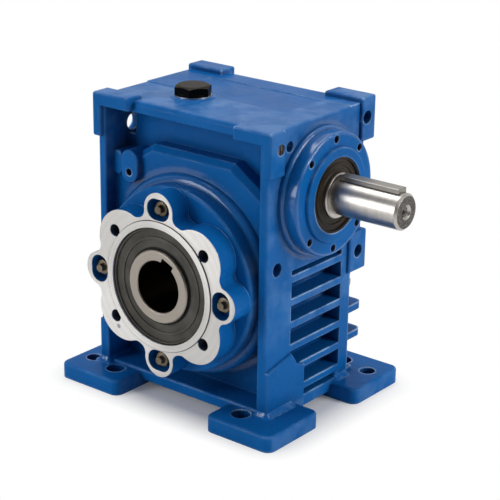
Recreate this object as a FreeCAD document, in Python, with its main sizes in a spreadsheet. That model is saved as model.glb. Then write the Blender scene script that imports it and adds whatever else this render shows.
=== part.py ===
"""Worm gear reducer with a hollow output shaft, a solid input shaft and a cast, footed housing.

Frame: origin on the base plane at the centre of the four foot bolts, +X along the input shaft,
-Y out of the lobed output cover, +Z up. Millimetres.
"""

import FreeCAD
import Part
import Sketcher

import math
import os
import re

Vector = FreeCAD.Vector

# Driving dimensions. Heights of the casting hang on the two shaft axes.
SIZES = {
    # shaft axes and gearing
    "output_height": 91,
    "centre_distance": 63,
    "gear_module": 3.15,
    "wheel_teeth": 30,
    "worm_turns": 5,
    "thread_angle": 20,
    "tooth_clearance": 0.2,
    "root_clearance": 0.2,
    "rim_half_width": 12,
    # feet and base
    "foot_reach_x": 93,
    "foot_reach_y": 74,
    "foot_size": 54,
    "foot_thickness": 11,
    "foot_corner": 6,
    "foot_edge": 2,
    "foot_bolt_x": 56,
    "foot_bolt_y": 57,
    "foot_bolt_radius": 6.5,
    "dowel_x": 80,
    "dowel_y": 53,
    "dowel_radius": 5.5,
    "base_relief": 5,
    "base_thickness": 8,
    # end plates, top plate and corner pads
    "plate_reach_x": 72,
    "plate_reach_y": 50,
    "plate_front": 53,
    "column_rear": 39,
    "left_plate": 6,
    "right_plate": 7,
    "notch_drop": 4,
    "top_rise": 49,
    "top_plate": 8,
    "top_step": 0.4,
    "top_step_x": 44,
    "top_step_y": 4.5,
    "top_rim_y": 33,
    "top_front_round": 3.5,
    "pad_length": 31,
    "pad_depth": 15,
    "pad_bar": 9,
    "pad_leg": 7,
    "pad_drop": 30,
    "pad_rise": 2.4,
    "rear_pad_rise": 4,
    "pad_out_x": 2.5,
    "pad_out_y": 6,
    "near_pad_out": 3.7,
    "rear_pad_out": 8.5,
    "plate_edge": 1.5,
    "pad_edge": 1.5,
    "lug_width": 19,
    "lug_height": 28,
    "lug_out": 3.5,
    "corner_hole_radius": 4.5,
    "window_radius": 5.8,
    "window_y": 25.6,
    "window_drop": 23,
    "corner_pocket_x": 58.5,
    "corner_pocket_deep": 64.5,
    # gear case, belly and drum
    "case_front": 30,
    "case_rear": 36,
    "case_wall": 5,
    "chamber_clearance": 2,
    "chamber_front": 40,
    "belly_front": 43,
    "belly_rise": 82.5,
    "belly_flat": 34,
    "belly_shoulder": 60,
    "belly_chamfer": 4,
    "oil_space_wall": 8,
    "oil_space_half": 46,
    "front_lug_x": 49.5,
    "front_lug_rise": 61.5,
    "front_lug_radius": 7.5,
    "front_lug_length": 8,
    "front_lug_height": 5,
    "front_lug_hole": 2.5,
    "lug_rib_x": 62.5,
    "lug_rib_radius": 4.5,
    "lug_rib_height": 2.5,
    "drum_radius": 69,
    "drum_front": 48,
    "drum_round": 5,
    "seat_radius": 63.5,
    "seat_front": 58,
    "seat_round": 2,
    "rear_drum_radius": 62,
    "rear_drum_face": 46,
    # fins
    "fin_pitch": 16,
    "fin_thickness": 5,
    "pocket_front": 26.5,
    "pocket_rear": 28.5,
    "pocket_foot": 12,
    "gusset_out": 2.2,
    "gusset_rise": 43,
    "gusset_lip": 6,
    "gusset_round": 1.8,
    "pocket_rise": 15,
    "rear_fin_reach": 56.5,
    "rear_fin_half": 71,
    "rear_fin_pitch": 20,
    "rear_fin_corner": 5,
    # input boss and tail boss
    "boss_radius": 41,
    "boss_face": 85,
    "boss_round": 1.5,
    "boss_root_radius": 43.2,
    "boss_root_face": 76,
    "boss_bolt_circle": 73,
    "boss_bolt_radius": 2.5,
    "boss_bolt_depth": 11,
    "tail_boss_radius": 27,
    "tail_boss_face": 76,
    # output cover, rear cover, output shaft
    "cover_face": 74.5,
    "cover_disc_radius": 47,
    "long_lobe_tip": 63.8,
    "long_lobe_radius": 12,
    "short_lobe_tip": 60.3,
    "short_lobe_radius": 21.5,
    "short_lobe_turn": 38.5,
    "lobe_blend": 6,
    "cover_spigot_radius": 46,
    "cover_spigot_end": 43,
    "pilot_radius": 44.5,
    "pilot_height": 0.8,
    "recess_circle": 105,
    "recess_length": 19,
    "recess_width": 14.5,
    "recess_depth": 8,
    "flange_bolt_circle": 97,
    "flange_bolt_radius": 4.25,
    "flange_bolt_depth": 15,
    "rear_cover_face": 56,
    "rear_screw_circle": 115.5,
    "gasket_thickness": 0.5,
    "bore_radius": 17.5,
    "hollow_radius": 25,
    "hollow_front": 75.5,
    "hollow_rear": 57,
    "bore_key_width": 10,
    "bore_key_height": 3.3,
    "bore_key_turn": 25,
    "hub_radius": 38,
    "hub_half_width": 13,
    # bearings and seals
    "output_bearing_outer": 40,
    "output_bearing_width": 20,
    "front_bearing_end": 64,
    "rear_bearing_end": 46,
    "bearing_lip": 36,
    "output_seal_width": 8,
    "front_seal_face": 73.8,
    "rear_seal_face": 55.5,
    "input_bearing_bore": 15,
    "input_bearing_outer": 27.5,
    "input_bearing_width": 17,
    "input_bearing_start": 47,
    "tail_bearing_bore": 10,
    "tail_bearing_outer": 23.5,
    "tail_bearing_width": 15,
    "tail_bearing_start": 47,
    "race_slope": 0.2,
    "roller_clearance": 0.05,
    "seal_clearance": 0.05,
    "carrier_radius": 31.5,
    "carrier_face": 87.5,
    "carrier_length": 10,
    "input_seal_outer": 25,
    "input_seal_width": 7,
    "input_seal_face": 86.8,
    "circlip_thickness": 2,
    "circlip_groove": 1.3,
    "circlip_gap": 14,
    "cap_face": 75.5,
    "cap_thickness": 6,
    # worm shaft and key
    "worm_shoulder": 19,
    "collar_face": 89,
    "shaft_radius": 12,
    "shaft_end": 139.5,
    "shaft_chamfer": 1.5,
    "centre_hole_radius": 3.4,
    "centre_hole_depth": 20,
    "centre_cone_radius": 4.9,
    "key_width": 8,
    "key_height": 7,
    "key_seat": 4,
    "key_start": 91,
    "key_length": 45,
    # plugs and small screws
    "plug_x": 22,
    "plug_y": 14.5,
    "plug_across_flats": 22.5,
    "plug_head": 6.5,
    "plug_shank_radius": 8,
    "plug_shank": 14,
    "plug_boss_radius": 15.5,
    "plug_boss_height": 0.8,
    "washer_radius": 12.4,
    "washer_thickness": 0.8,
    "screw_radius": 3,
    "screw_head_radius": 5,
    "screw_head": 5,
    "screw_grip": 12,
    "socket_width": 5,
    "rear_screw_radius": 2.5,
    "rear_screw_head_radius": 4.25,
    "rear_screw_head": 5,
    "lock_screw_radius": 2.5,
    "lock_screw_length": 12,
    "set_screw_radius": 3.6,
    "set_screw_length": 8,
}

# Sizes that follow from the driving ones, written as rules for the sheet.
INPUT = "(output_height + centre_distance)"
TOP = "(output_height + centre_distance + top_rise)"
OUTPUT_AXIS = ("0", "output_height")
INPUT_AXIS = ("0", INPUT)
PLUG_AXIS = ("-plug_x", "-plug_y")
WHEEL_PITCH = "(gear_module * wheel_teeth / 2)"
WORM_PITCH = "(centre_distance - gear_module * wheel_teeth / 2)"
WORM_TIP = f"({WORM_PITCH} + gear_module)"
WORM_ROOT = f"({WORM_PITCH} - (1 + root_clearance) * gear_module)"
WORM_LEAD = "(pi * gear_module)"
WHEEL_OUTER = f"({WHEEL_PITCH} + 1.5 * gear_module)"
CHAMBER = f"({WHEEL_OUTER} + chamber_clearance)"
CASE_SIDE = f"({CHAMBER} + case_wall)"
FRONT_BEARING_START = "(front_bearing_end - output_bearing_width)"
REAR_BEARING_START = "(rear_bearing_end - output_bearing_width)"

FRONT_LOBES = (0, 90, 180, 270)
REAR_SCREWS = 8
LOCK_SCREWS = 4
FIN_COUNT = 6
REAR_FIN_COUNT = 2

doc = FreeCAD.newDocument("WormGearReducer")
sheet = doc.addObject("Spreadsheet::Sheet", "Sizes")
for row, (alias, size) in enumerate(SIZES.items(), start=1):
    sheet.set(f"A{row}", alias)
    sheet.set(f"B{row}", str(size))
    sheet.setAlias(f"B{row}", alias)
doc.recompute()

nodes = {}


def rule(text):
    """A rule in plain size names, written for the sheet."""
    return re.sub(r"[a-z]\w*", lambda word: f"Sizes.{word[0]}" if word[0] in SIZES else word[0], str(text))


def size(text):
    """The number that a rule gives now."""
    return float(sheet.evalExpression(rule(text)))


def tie(thing, prop, text):
    thing.setExpression(prop, rule(text))


def node(label, thing):
    """Marks an object as a finished piece, which gets a file of its own."""
    thing.Label = label
    nodes[label] = thing
    return thing


def place(thing, x="0", y="0", z="0"):
    for axis, text in zip("xyz", (x, y, z)):
        tie(thing, f"Placement.Base.{axis}", text)


def block(name, x, y, z):
    """A box between two rules on each axis."""
    box = doc.addObject("Part::Box", name)
    for prop, (low, high) in zip(("Length", "Width", "Height"), (x, y, z)):
        tie(box, prop, f"({high}) - ({low})")
    place(box, x[0], y[0], z[0])
    return box


TURNS = {
    "X": FreeCAD.Rotation(Vector(0, 1, 0), 90),
    "Y": FreeCAD.Rotation(Vector(1, 0, 0), -90),
    "Z": FreeCAD.Rotation(),
}


def rod(name, axis, radius, start, end, centre):
    """A cylinder along a row axis from start to end; centre holds the other two coordinates in order."""
    bar = doc.addObject("Part::Cylinder", name)
    tie(bar, "Radius", radius)
    tie(bar, "Height", f"({end}) - ({start})")
    bar.Placement = FreeCAD.Placement(Vector(), TURNS[axis])
    at = list(centre)
    at.insert("XYZ".index(axis), start)
    place(bar, *at)
    return bar


def outline(sketch, corners):
    """Straight lines through the corners, each corner held by two rules."""
    points = [Vector(size(u), size(v), 0) for u, v in corners]
    count = len(points)
    for i in range(count):
        sketch.addGeometry(Part.LineSegment(points[i], points[(i + 1) % count]), False)
    for i in range(count):
        sketch.addConstraint(Sketcher.Constraint("Coincident", i, 2, (i + 1) % count, 1))
    for i, corner in enumerate(corners):
        for kind, axis, text, number in zip(("DistanceX", "DistanceY"), (-2, -1), corner, points[i][:2]):
            if str(text) == "0":
                sketch.addConstraint(Sketcher.Constraint("PointOnObject", i, 1, axis))
            else:
                index = sketch.addConstraint(Sketcher.Constraint(kind, -1, 1, i, 1, number))
                sketch.setExpression(f"Constraints[{index}]", rule(text))


PLANES = {
    "XY": (FreeCAD.Rotation(), "z", Vector(0, 0, 1)),
    "XZ": (FreeCAD.Rotation(Vector(1, 0, 0), 90), "y", Vector(0, 1, 0)),
    "YZ": (FreeCAD.Rotation(Vector(1, 1, 1), 120), "x", Vector(1, 0, 0)),
}


def prism(name, plane, corners, start, end):
    """An outline in a row plane, extruded along that plane's axis from start to end."""
    turn, axis, direction = PLANES[plane]
    sketch = doc.addObject("Sketcher::SketchObject", f"{name}_outline")
    outline(sketch, corners)
    sketch.Placement = FreeCAD.Placement(Vector(), turn)
    tie(sketch, f"Placement.Base.{axis}", start)
    solid = doc.addObject("Part::Extrusion", name)
    solid.Base = sketch
    solid.DirMode = "Custom"
    solid.Dir = direction
    solid.Solid = True
    tie(solid, "LengthFwd", f"({end}) - ({start})")
    return solid


def upright_plane(body):
    return next(f for f in body.Origin.OriginFeatures if f.Role == "XZ_Plane")


def turned(name, axis, profile, start, centre_z):
    """A lathe part: (radius, length) corners turned about a row axis, lengths counted from start."""
    body = doc.addObject("PartDesign::Body", name)
    plane = upright_plane(body) if axis == "X" else next(
        f for f in body.Origin.OriginFeatures if f.Role == "XY_Plane"
    )
    sketch = body.newObject("Sketcher::SketchObject", f"{name}_profile")
    sketch.AttachmentSupport = [(plane, "")]
    sketch.MapMode = "FlatFace"
    outline(sketch, profile if axis == "Y" else [(length, radius) for radius, length in profile])
    turn = body.newObject("PartDesign::Revolution", f"{name}_turning")
    turn.Profile = sketch
    turn.ReferenceAxis = (sketch, ["V_Axis" if axis == "Y" else "H_Axis"])
    turn.Angle = 360
    sketch.Visibility = False
    at = {"x": start, "y": "0", "z": centre_z} if axis == "X" else {"x": "0", "y": start, "z": centre_z}
    place(body, **at)
    return body


def fuse(name, parts):
    joined = doc.addObject("Part::MultiFuse", name)
    joined.Shapes = parts
    joined.Refine = True
    return joined


def cut(name, base, tools):
    result = doc.addObject("Part::Cut", name)
    result.Base = base
    result.Tool = tools[0] if len(tools) == 1 else fuse(f"{name}_tools", tools)
    result.Refine = True
    return result


def rounded(name, base, *rounds):
    """Rounds the edges that each chooser picks, with the radius of its rule."""
    doc.recompute()
    picked = []
    for text, chooser in rounds:
        radius = size(text)
        for index, edge in enumerate(base.Shape.Edges, start=1):
            if chooser(edge):
                picked.append((index, radius, radius))
    fillet = doc.addObject("Part::Fillet", name)
    fillet.Base = base
    fillet.Edges = picked
    return fillet


def along(edge, axis):
    """True for a straight edge along a row axis."""
    if not isinstance(edge.Curve, Part.Line):
        return False
    return abs(abs(edge.Curve.Direction["XYZ".index(axis)]) - 1) < 1e-6


def at_level(edge, axis, text):
    """True for an edge that lies at one level of a row axis."""
    box = edge.BoundBox
    low, high = {"X": (box.XMin, box.XMax), "Y": (box.YMin, box.YMax), "Z": (box.ZMin, box.ZMax)}[axis]
    level = size(text)
    return abs(low - level) < 1e-4 and abs(high - level) < 1e-4


def around(radius_text, angle):
    """Rules for a point on a circle about the output axis, angle counted from +X towards +Z."""
    c, s = math.cos(math.radians(angle)), math.sin(math.radians(angle))
    return f"{c:.9f} * ({radius_text})", f"output_height + {s:.9f} * ({radius_text})"


def sided(sign, text):
    """A rule on one side of a middle plane."""
    return f"{sign} * ({text})"


def span(sign, low, high):
    """A pair of rules on one side of a middle plane, the lower one first."""
    pair = (sided(sign, low), sided(sign, high))
    return pair if sign > 0 else pair[::-1]


def feet():
    """Four square feet with rounded corners and softened top edges."""
    made = []
    for sign_x in (-1, 1):
        for sign_y in (-1, 1):
            name = f"foot_{'left' if sign_x < 0 else 'right'}_{'front' if sign_y < 0 else 'rear'}"
            slab = block(
                f"{name}_slab",
                span(sign_x, "foot_reach_x - foot_size", "foot_reach_x"),
                span(sign_y, "foot_reach_y - foot_size", "foot_reach_y"),
                ("0", "foot_thickness"),
            )
            cornered = rounded(f"{name}_corners", slab, ("foot_corner", lambda edge: along(edge, "Z")))
            made.append(
                rounded(name, cornered, ("foot_edge", lambda edge: at_level(edge, "Z", "foot_thickness")))
            )
    return made


def corner_pad(name, sign_x, sign_y, out_y, rise):
    """An angle-shaped pad that wraps an upper corner: a bar along the top and a short leg down the side."""
    outer_x = "plate_reach_x + pad_out_x"
    outer_y = f"plate_reach_y + {out_y}"
    top = f"{TOP} + {rise}"
    depth = span(sign_y, f"{outer_y} - pad_depth", outer_y)
    wide = span(sign_x, f"{outer_x} - pad_length", outer_x)
    narrow = span(sign_x, f"{outer_x} - pad_leg", outer_x)
    bar = block(f"{name}_bar", wide, depth, (f"{TOP} - pad_bar + {rise}", top))
    leg = block(f"{name}_leg", narrow, depth, (f"{top} - pad_drop", top))
    angle = fuse(f"{name}_angle", [bar, leg])
    outside_x, outside_y = sided(sign_x, outer_x), sided(sign_y, outer_y)

    def outside(edge):
        return (
            at_level(edge, "X", outside_x)
            or at_level(edge, "Y", outside_y)
            or at_level(edge, "Z", top)
            or at_level(edge, "Z", f"{top} - pad_drop")
        )

    return rounded(name, angle, ("pad_edge", outside))


def end_plate(name, sign, thickness):
    """An end plate with its lower rear corner left open behind the far column."""
    base = "base_relief"
    notch = "output_height - notch_drop"
    corners = [
        ("-plate_front", base),
        ("column_rear", base),
        ("column_rear", notch),
        ("plate_reach_y", notch),
        ("plate_reach_y", TOP),
        ("-plate_front", TOP),
    ]
    across = span(sign, f"plate_reach_x - {thickness}", "plate_reach_x")
    plate = prism(f"{name}_blank", "YZ", corners, *across)
    outside = sided(sign, "plate_reach_x")

    def outer(edge):
        above = at_level(edge, "Z", TOP)
        behind = at_level(edge, "Y", "plate_reach_y")
        side = at_level(edge, "X", outside)
        return at_level(edge, "Y", "-plate_front") or (side and (above or behind)) or (above and behind)

    return rounded(name, plate, ("plate_edge", outer))


def belly():
    """The raised front of the gear case: flat top, sloping shoulders, bevelled front edge."""
    side = "plate_reach_x - left_plate / 2"
    shoulder = "output_height + belly_shoulder"
    top = "output_height + belly_rise"
    corners = [
        (f"-({side})", "output_height"),
        (side, "output_height"),
        (side, shoulder),
        ("belly_flat", top),
        ("-belly_flat", top),
        (f"-({side})", shoulder),
    ]
    solid = prism("belly_block", "XZ", corners, "-belly_front", "-case_front")
    doc.recompute()
    front_top = [
        index
        for index, edge in enumerate(solid.Shape.Edges, start=1)
        if at_level(edge, "Y", "-belly_front") and edge.BoundBox.ZMax > size(shoulder) + 1
    ]
    bevel = doc.addObject("Part::Chamfer", "belly")
    bevel.Base = solid
    bevel.Edges = [(index, size("belly_chamfer"), size("belly_chamfer")) for index in front_top]
    return bevel


def drum():
    """Two stepped round shoulders that carry the output cover."""
    outer = rod("drum_block", "Y", "drum_radius", "-drum_front", "-case_front", OUTPUT_AXIS)
    seat = rod("seat_block", "Y", "seat_radius", "-seat_front", "-case_front", OUTPUT_AXIS)
    soft_outer = rounded("drum", outer, ("drum_round", lambda edge: at_level(edge, "Y", "-drum_front")))
    soft_seat = rounded("seat", seat, ("seat_round", lambda edge: at_level(edge, "Y", "-seat_front")))
    return [soft_outer, soft_seat]


def fins():
    """Cooling fins: a stack in each end pocket and two long ones across the rear wall."""

    def outer_corner(edge):
        return along(edge, "Z") and edge.BoundBox.YMax > size("rear_fin_reach") - 1

    made = []
    for sign, side in ((-1, "left"), (1, "right")):
        for index in range(FIN_COUNT):
            middle = f"(base_relief - 1 + {index + 1} * fin_pitch)"
            made.append(
                block(
                    f"{side}_fin_{index + 1}",
                    span(sign, f"{CASE_SIDE} - 1", "plate_reach_x"),
                    ("-pocket_front - 1", "pocket_rear + 1"),
                    (f"{middle} - fin_thickness / 2", f"{middle} + fin_thickness / 2"),
                )
            )
    for index in range(REAR_FIN_COUNT):
        middle = f"(output_height - 53 + {index} * rear_fin_pitch)"
        plate = block(
            f"rear_fin_{index + 1}_plate",
            ("-rear_fin_half", "rear_fin_half"),
            ("case_rear - 1", "rear_fin_reach"),
            (f"{middle} - fin_thickness / 2", f"{middle} + fin_thickness / 2"),
        )
        made.append(rounded(f"rear_fin_{index + 1}", plate, ("rear_fin_corner", outer_corner)))
    return made


def fin_pocket(name, sign):
    """The pocket that the end fins stand in; its front wall steps out towards the foot."""
    low = "base_relief + base_thickness"
    high = "output_height + pocket_rise"
    corners = [
        ("-pocket_foot", low),
        ("pocket_rear", low),
        ("pocket_rear", high),
        ("-pocket_front", high),
    ]
    corners += pocket_shoulder()[::-1]
    return prism(name, "YZ", corners, *span(sign, CASE_SIDE, "plate_reach_x + gusset_out + 1"))


def input_boss():
    """Round boss of the input bearing on a wider root ring."""
    inner = "plate_reach_x - right_plate"
    root = rod("boss_root_block", "X", "boss_root_radius", inner, "boss_root_face", INPUT_AXIS)
    ring = rod("boss_block", "X", "boss_radius", inner, "boss_face", INPUT_AXIS)
    soft_root = rounded("boss_root", root, ("seat_round", lambda edge: at_level(edge, "X", "boss_root_face")))
    soft_ring = rounded("boss", ring, ("boss_round", lambda edge: at_level(edge, "X", "boss_face")))
    return [soft_root, soft_ring]


def side_lug(name, sign):
    """A drilled lug at the rear edge of an end plate."""
    rear = "plate_reach_y + lug_out"
    low = "output_height - notch_drop"
    plate = block(
        f"{name}_block",
        span(sign, f"{CASE_SIDE} + 2", "plate_reach_x + pad_out_x"),
        (f"{rear} - lug_width", rear),
        (low, f"{low} + lug_height"),
    )
    outside = sided(sign, "plate_reach_x + pad_out_x")

    def rim(edge):
        return at_level(edge, "X", outside) or at_level(edge, "Y", rear)

    return rounded(name, plate, ("pad_edge", rim))


def upright_lug(name, x, radius, face):
    """A tall round-ended lug on the front of the gear case."""
    low = "(output_height + front_lug_rise)"
    high = f"({low} + front_lug_length)"
    left = f"-{x} - {radius}"
    right = f"-{x} + {radius}"
    pill = fuse(f"{name}_pill", [
        block(f"{name}_middle", (left, right), (face, "-case_front"), (low, high)),
        rod(f"{name}_lower_end", "Y", radius, face, "-case_front", (f"-{x}", low)),
        rod(f"{name}_upper_end", "Y", radius, face, "-case_front", (f"-{x}", high)),
    ])
    return rounded(name, pill, ("pad_edge", lambda edge: at_level(edge, "Y", face)))


def frame():
    """Base, two end plates and a top with a slightly raised rim at the back, with softened outer edges."""
    between = ("-plate_reach_x + left_plate / 2", "plate_reach_x - right_plate / 2")
    deep = ("-plate_reach_y", "plate_reach_y")
    base = block("base_slab", between, deep, ("base_relief", "base_relief + base_thickness"))
    top = block("top_slab", between, deep, (f"{TOP} - top_plate", TOP))
    rim_corners = [
        ("-plate_reach_x", "-top_step_y"),
        ("-top_step_x", "-top_step_y"),
        ("-top_step_x", "top_rim_y"),
        ("plate_reach_x", "top_rim_y"),
        ("plate_reach_x", "plate_reach_y"),
        ("-plate_reach_x", "plate_reach_y"),
    ]
    step = prism("top_step_slab", "XY", rim_corners, f"{TOP} - plate_edge", f"{TOP} + top_step")

    def front(edge):
        return along(edge, "X") and at_level(edge, "Y", "-plate_reach_y")

    def front_upper(edge):
        return front(edge) and at_level(edge, "Z", TOP)

    def front_lower(edge):
        return front(edge) and not at_level(edge, "Z", TOP)

    def rim(edge):
        return at_level(edge, "Z", f"{TOP} + top_step")

    return [
        rounded("base", base, ("plate_edge", front)),
        rounded("top", top, ("top_front_round", front_upper), ("plate_edge", front_lower)),
        rounded("raised_top", step, ("top_step * 0.9", rim)),
        end_plate("left_end_plate", -1, "left_plate"),
        end_plate("right_end_plate", 1, "right_plate"),
    ]


def gusset(name, sign):
    """The thicker lower end of the near column, which widens into the foot."""
    low, high = "base_relief", "gusset_rise"
    corners = [
        ("-plate_front", low),
        ("-pocket_foot", low),
    ]
    corners += pocket_shoulder()
    corners.append(("-plate_front", high))
    outside = sided(sign, "plate_reach_x + gusset_out")
    across = span(sign, "plate_reach_x - left_plate / 2", "plate_reach_x + gusset_out")
    slab = prism(f"{name}_slab", "YZ", corners, *across)
    return rounded(name, slab, ("gusset_round", lambda edge: at_level(edge, "X", outside)))


def pocket_shoulder():
    """The stepped line, from below upwards, where the near column narrows from the foot to its upper part."""
    return [
        ("-pocket_foot", "gusset_rise - gusset_lip"),
        ("-pocket_front + gusset_lip", "gusset_rise - gusset_lip / 2"),
        ("-pocket_front + gusset_lip * 0.75", "gusset_rise"),
        ("-pocket_front", "gusset_rise + gusset_lip"),
    ]


def housing():
    """The one-piece casting, then everything that is drilled and bored into it."""
    low = "base_relief"
    right_inner = "plate_reach_x - right_plate / 2"
    left_inner = "plate_reach_x - left_plate / 2"
    solids = feet() + frame() + [gusset("left_gusset", -1), gusset("right_gusset", 1)]
    case_width = (f"-({left_inner})", right_inner)
    solids.append(block("gear_case", case_width, ("-case_front", "case_rear"), (low, f"{TOP} - 1")))
    solids.append(belly())
    solids += drum()
    solids.append(
        rod("rear_drum", "Y", "rear_drum_radius", "case_rear - 1", "rear_drum_face", OUTPUT_AXIS)
    )
    solids += input_boss()
    solids.append(
        rod("tail_boss", "X", "tail_boss_radius", "-tail_boss_face", f"-({left_inner})", INPUT_AXIS)
    )
    solids.append(corner_pad("front_left_pad", -1, -1, "pad_out_y", "pad_rise"))
    solids.append(corner_pad("rear_left_pad", -1, 1, "pad_out_y", "rear_pad_rise"))
    solids.append(corner_pad("rear_right_pad", 1, 1, "rear_pad_out", "rear_pad_rise"))
    solids.append(corner_pad("front_right_pad", 1, -1, "near_pad_out", "0"))
    solids += [side_lug("left_lug", -1), side_lug("right_lug", 1)]
    plug_seat = f"{TOP} + plug_boss_height"
    plug_boss = rod("plug_boss_block", "Z", "plug_boss_radius", f"{TOP} - 1", plug_seat, PLUG_AXIS)
    solids.append(rounded("plug_boss", plug_boss, ("pad_edge", lambda edge: at_level(edge, "Z", plug_seat))))
    lug_face = "-belly_front - front_lug_height"
    lug_at = ("-front_lug_x", "output_height + front_lug_rise")
    solids.append(upright_lug("front_lug", "front_lug_x", "front_lug_radius", lug_face))
    solids.append(upright_lug("lug_rib", "lug_rib_x", "lug_rib_radius", "-belly_front - lug_rib_height"))
    casting = fuse("casting", solids)
    pockets = cut("pocketed", casting, [fin_pocket("left_pocket", -1), fin_pocket("right_pocket", 1)])
    finned = fuse("finned", [pockets] + fins())

    tools = [
        rod("wheel_chamber", "Y", CHAMBER, "-chamber_front", "rear_drum_face + 1", OUTPUT_AXIS),
        rod("cover_bore", "Y", "cover_spigot_radius", "-seat_front - 1", "0", OUTPUT_AXIS),
        rod("worm_tunnel", "X", f"{WORM_TIP} + chamber_clearance", "-tail_bearing_start - 1",
            "input_bearing_start + 1", INPUT_AXIS),
        rod("input_bore", "X", "input_bearing_outer", "input_bearing_start - 3", "boss_face + 1", INPUT_AXIS),
        rod("input_groove", "X", "input_bearing_outer + circlip_groove",
            "input_bearing_start + input_bearing_width",
            "input_bearing_start + input_bearing_width + circlip_thickness", INPUT_AXIS),
        rod("tail_bore", "X", "tail_bearing_outer", "-tail_boss_face - 1", "-tail_bearing_start + 3",
            INPUT_AXIS),
        rod("tail_groove", "X", "tail_bearing_outer + circlip_groove",
            "-tail_bearing_start - tail_bearing_width - circlip_thickness",
            "-tail_bearing_start - tail_bearing_width", INPUT_AXIS),
        rod("filler_hole", "Z", "plug_shank_radius", f"{TOP} - 2 * oil_space_wall - 1",
            f"{TOP} + plug_boss_height + 1", PLUG_AXIS),
        rod("drain_hole", "Z", "plug_shank_radius", "base_relief - 1", f"output_height - {CHAMBER} + 3",
            ("0", "0")),
        block("oil_space", ("-oil_space_half", "oil_space_half"),
              ("-case_front + oil_space_wall", "case_rear - oil_space_wall"),
              ("base_relief + 2 * oil_space_wall", f"{TOP} - 2 * oil_space_wall")),
        rod("rear_cover_clearance", "Y", "rear_drum_radius + 1.5", "rear_drum_face", "rear_fin_reach + 1",
            OUTPUT_AXIS),
        rod("front_lug_tapping", "Y", "front_lug_hole", f"{lug_face} - 1", "-belly_front + 4", lug_at),
        prism("corner_pocket", "XY", [
            ("-plate_reach_x + left_plate", "-case_front - 1"),
            ("-plate_reach_x + left_plate", "-window_y + window_radius + 0.3"),
            ("-corner_pocket_deep", "-window_y + window_radius + 0.3"),
            ("-corner_pocket_x", "-case_front - 1"),
        ], "output_height + belly_rise", f"{TOP} - top_plate"),
        rod("left_plate_window", "X", "window_radius", "-plate_reach_x - pad_out_x - 1",
            "-corner_pocket_deep + 1", ("-window_y", f"{TOP} - window_drop")),
        rod("set_screw_hole", "X", "set_screw_radius", "plate_reach_x + pad_out_x - set_screw_length - 1",
            "plate_reach_x + pad_out_x + 1", ("-plate_reach_y + 6.5", f"{TOP} - 12")),
        rod("near_upper_hole", "X", "0.8 * corner_hole_radius", f"{CASE_SIDE} + 1",
            "plate_reach_x + pad_out_x + 1", ("-plate_reach_y + 18.5", f"{TOP} - 13")),
        rod("far_upper_hole", "X", "corner_hole_radius", "plate_reach_x - right_plate - 1",
            "plate_reach_x + pad_out_x + 1", ("plate_reach_y - 1", f"{TOP} - 10")),
        rod("near_lower_hole", "X", "corner_hole_radius", "plate_reach_x - right_plate - 1",
            "plate_reach_x + 1", ("-plate_reach_y + 8", "output_height + 20")),
        rod("far_lower_hole", "X", "corner_hole_radius", f"{CASE_SIDE} + 1", "plate_reach_x + pad_out_x + 1",
            ("plate_reach_y + lug_out - lug_width / 2", "output_height - notch_drop + lug_height / 2")),
    ]
    for sign_x in (-1, 1):
        for sign_y in (-1, 1):
            tools.append(
                rod(f"foot_bolt_{sign_x}_{sign_y}", "Z", "foot_bolt_radius", "-1", "foot_thickness + 4",
                    (sided(sign_x, "foot_bolt_x"), sided(sign_y, "foot_bolt_y")))
            )
    for sign in (-1, 1):
        tools.append(
            rod(f"dowel_{sign}", "Z", "dowel_radius", "-1", "foot_thickness + 1",
                (sided(sign, "dowel_x"), sided(sign, "dowel_y")))
        )
    for angle in (45, 90, 135, 225, 270, 315):
        c, s = math.cos(math.radians(angle)), math.sin(math.radians(angle))
        at = (f"{c:.9f} * boss_bolt_circle / 2", f"{INPUT} + {s:.9f} * boss_bolt_circle / 2")
        bottom = "boss_face - boss_bolt_depth"
        tools.append(rod(f"boss_tapping_{angle}", "X", "boss_bolt_radius", bottom, "boss_face + 1", at))
    for angle in FRONT_LOBES:
        tools.append(
            rod(f"cover_tapping_{angle}", "Y", "screw_radius", "-seat_front - 1",
                "-seat_front + screw_grip + 2", around("recess_circle / 2", angle))
        )
    for index in range(REAR_SCREWS):
        tools.append(
            rod(f"rear_tapping_{index}", "Y", "rear_screw_radius", "rear_drum_face - screw_grip",
                "rear_drum_face + 1", around("rear_screw_circle / 2", 360 / REAR_SCREWS * (index + 0.5)))
        )
    return node("housing", cut("housing", finned, tools))


def output_cover():
    """Lobed casting: four long lobes with sunk screws, four short ones with tapped holes, and two seats."""
    seat = "-seat_front - gasket_thickness"
    blended = lobed_plate("cover_outline", "-cover_face", seat)
    spigot = rod("cover_spigot", "Y", "cover_spigot_radius", seat, "-cover_spigot_end", OUTPUT_AXIS)
    pilot = rod("cover_pilot", "Y", "pilot_radius", "-cover_face - pilot_height", seat, OUTPUT_AXIS)
    whole = fuse("cover_casting", [blended, spigot, pilot])
    tools = [
        rod("front_bearing_seat", "Y", "output_bearing_outer", "-front_bearing_end", "-cover_spigot_end + 1",
            OUTPUT_AXIS),
        rod("front_lip", "Y", "bearing_lip", "-cover_face", "-cover_spigot_end", OUTPUT_AXIS),
        rod("front_seal_seat", "Y", "output_bearing_outer", "-cover_face - pilot_height - 1",
            "-front_seal_face + output_seal_width", OUTPUT_AXIS),
    ]
    for angle in FRONT_LOBES:
        tools.append(screw_recess(angle))
        tools.append(
            rod(f"cover_screw_hole_{angle}", "Y", "screw_radius + 0.3", "-cover_face", "-seat_front + 1",
                around("recess_circle / 2", angle))
        )
    for index, at in enumerate(short_lobes("flange_bolt_circle / 2")):
        tools.append(
            rod(f"flange_tapping_{index}", "Y", "flange_bolt_radius", "-cover_face - 1",
                "-cover_face + flange_bolt_depth", at)
        )
    return node("output_cover", cut("output_cover", whole, tools))


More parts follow.
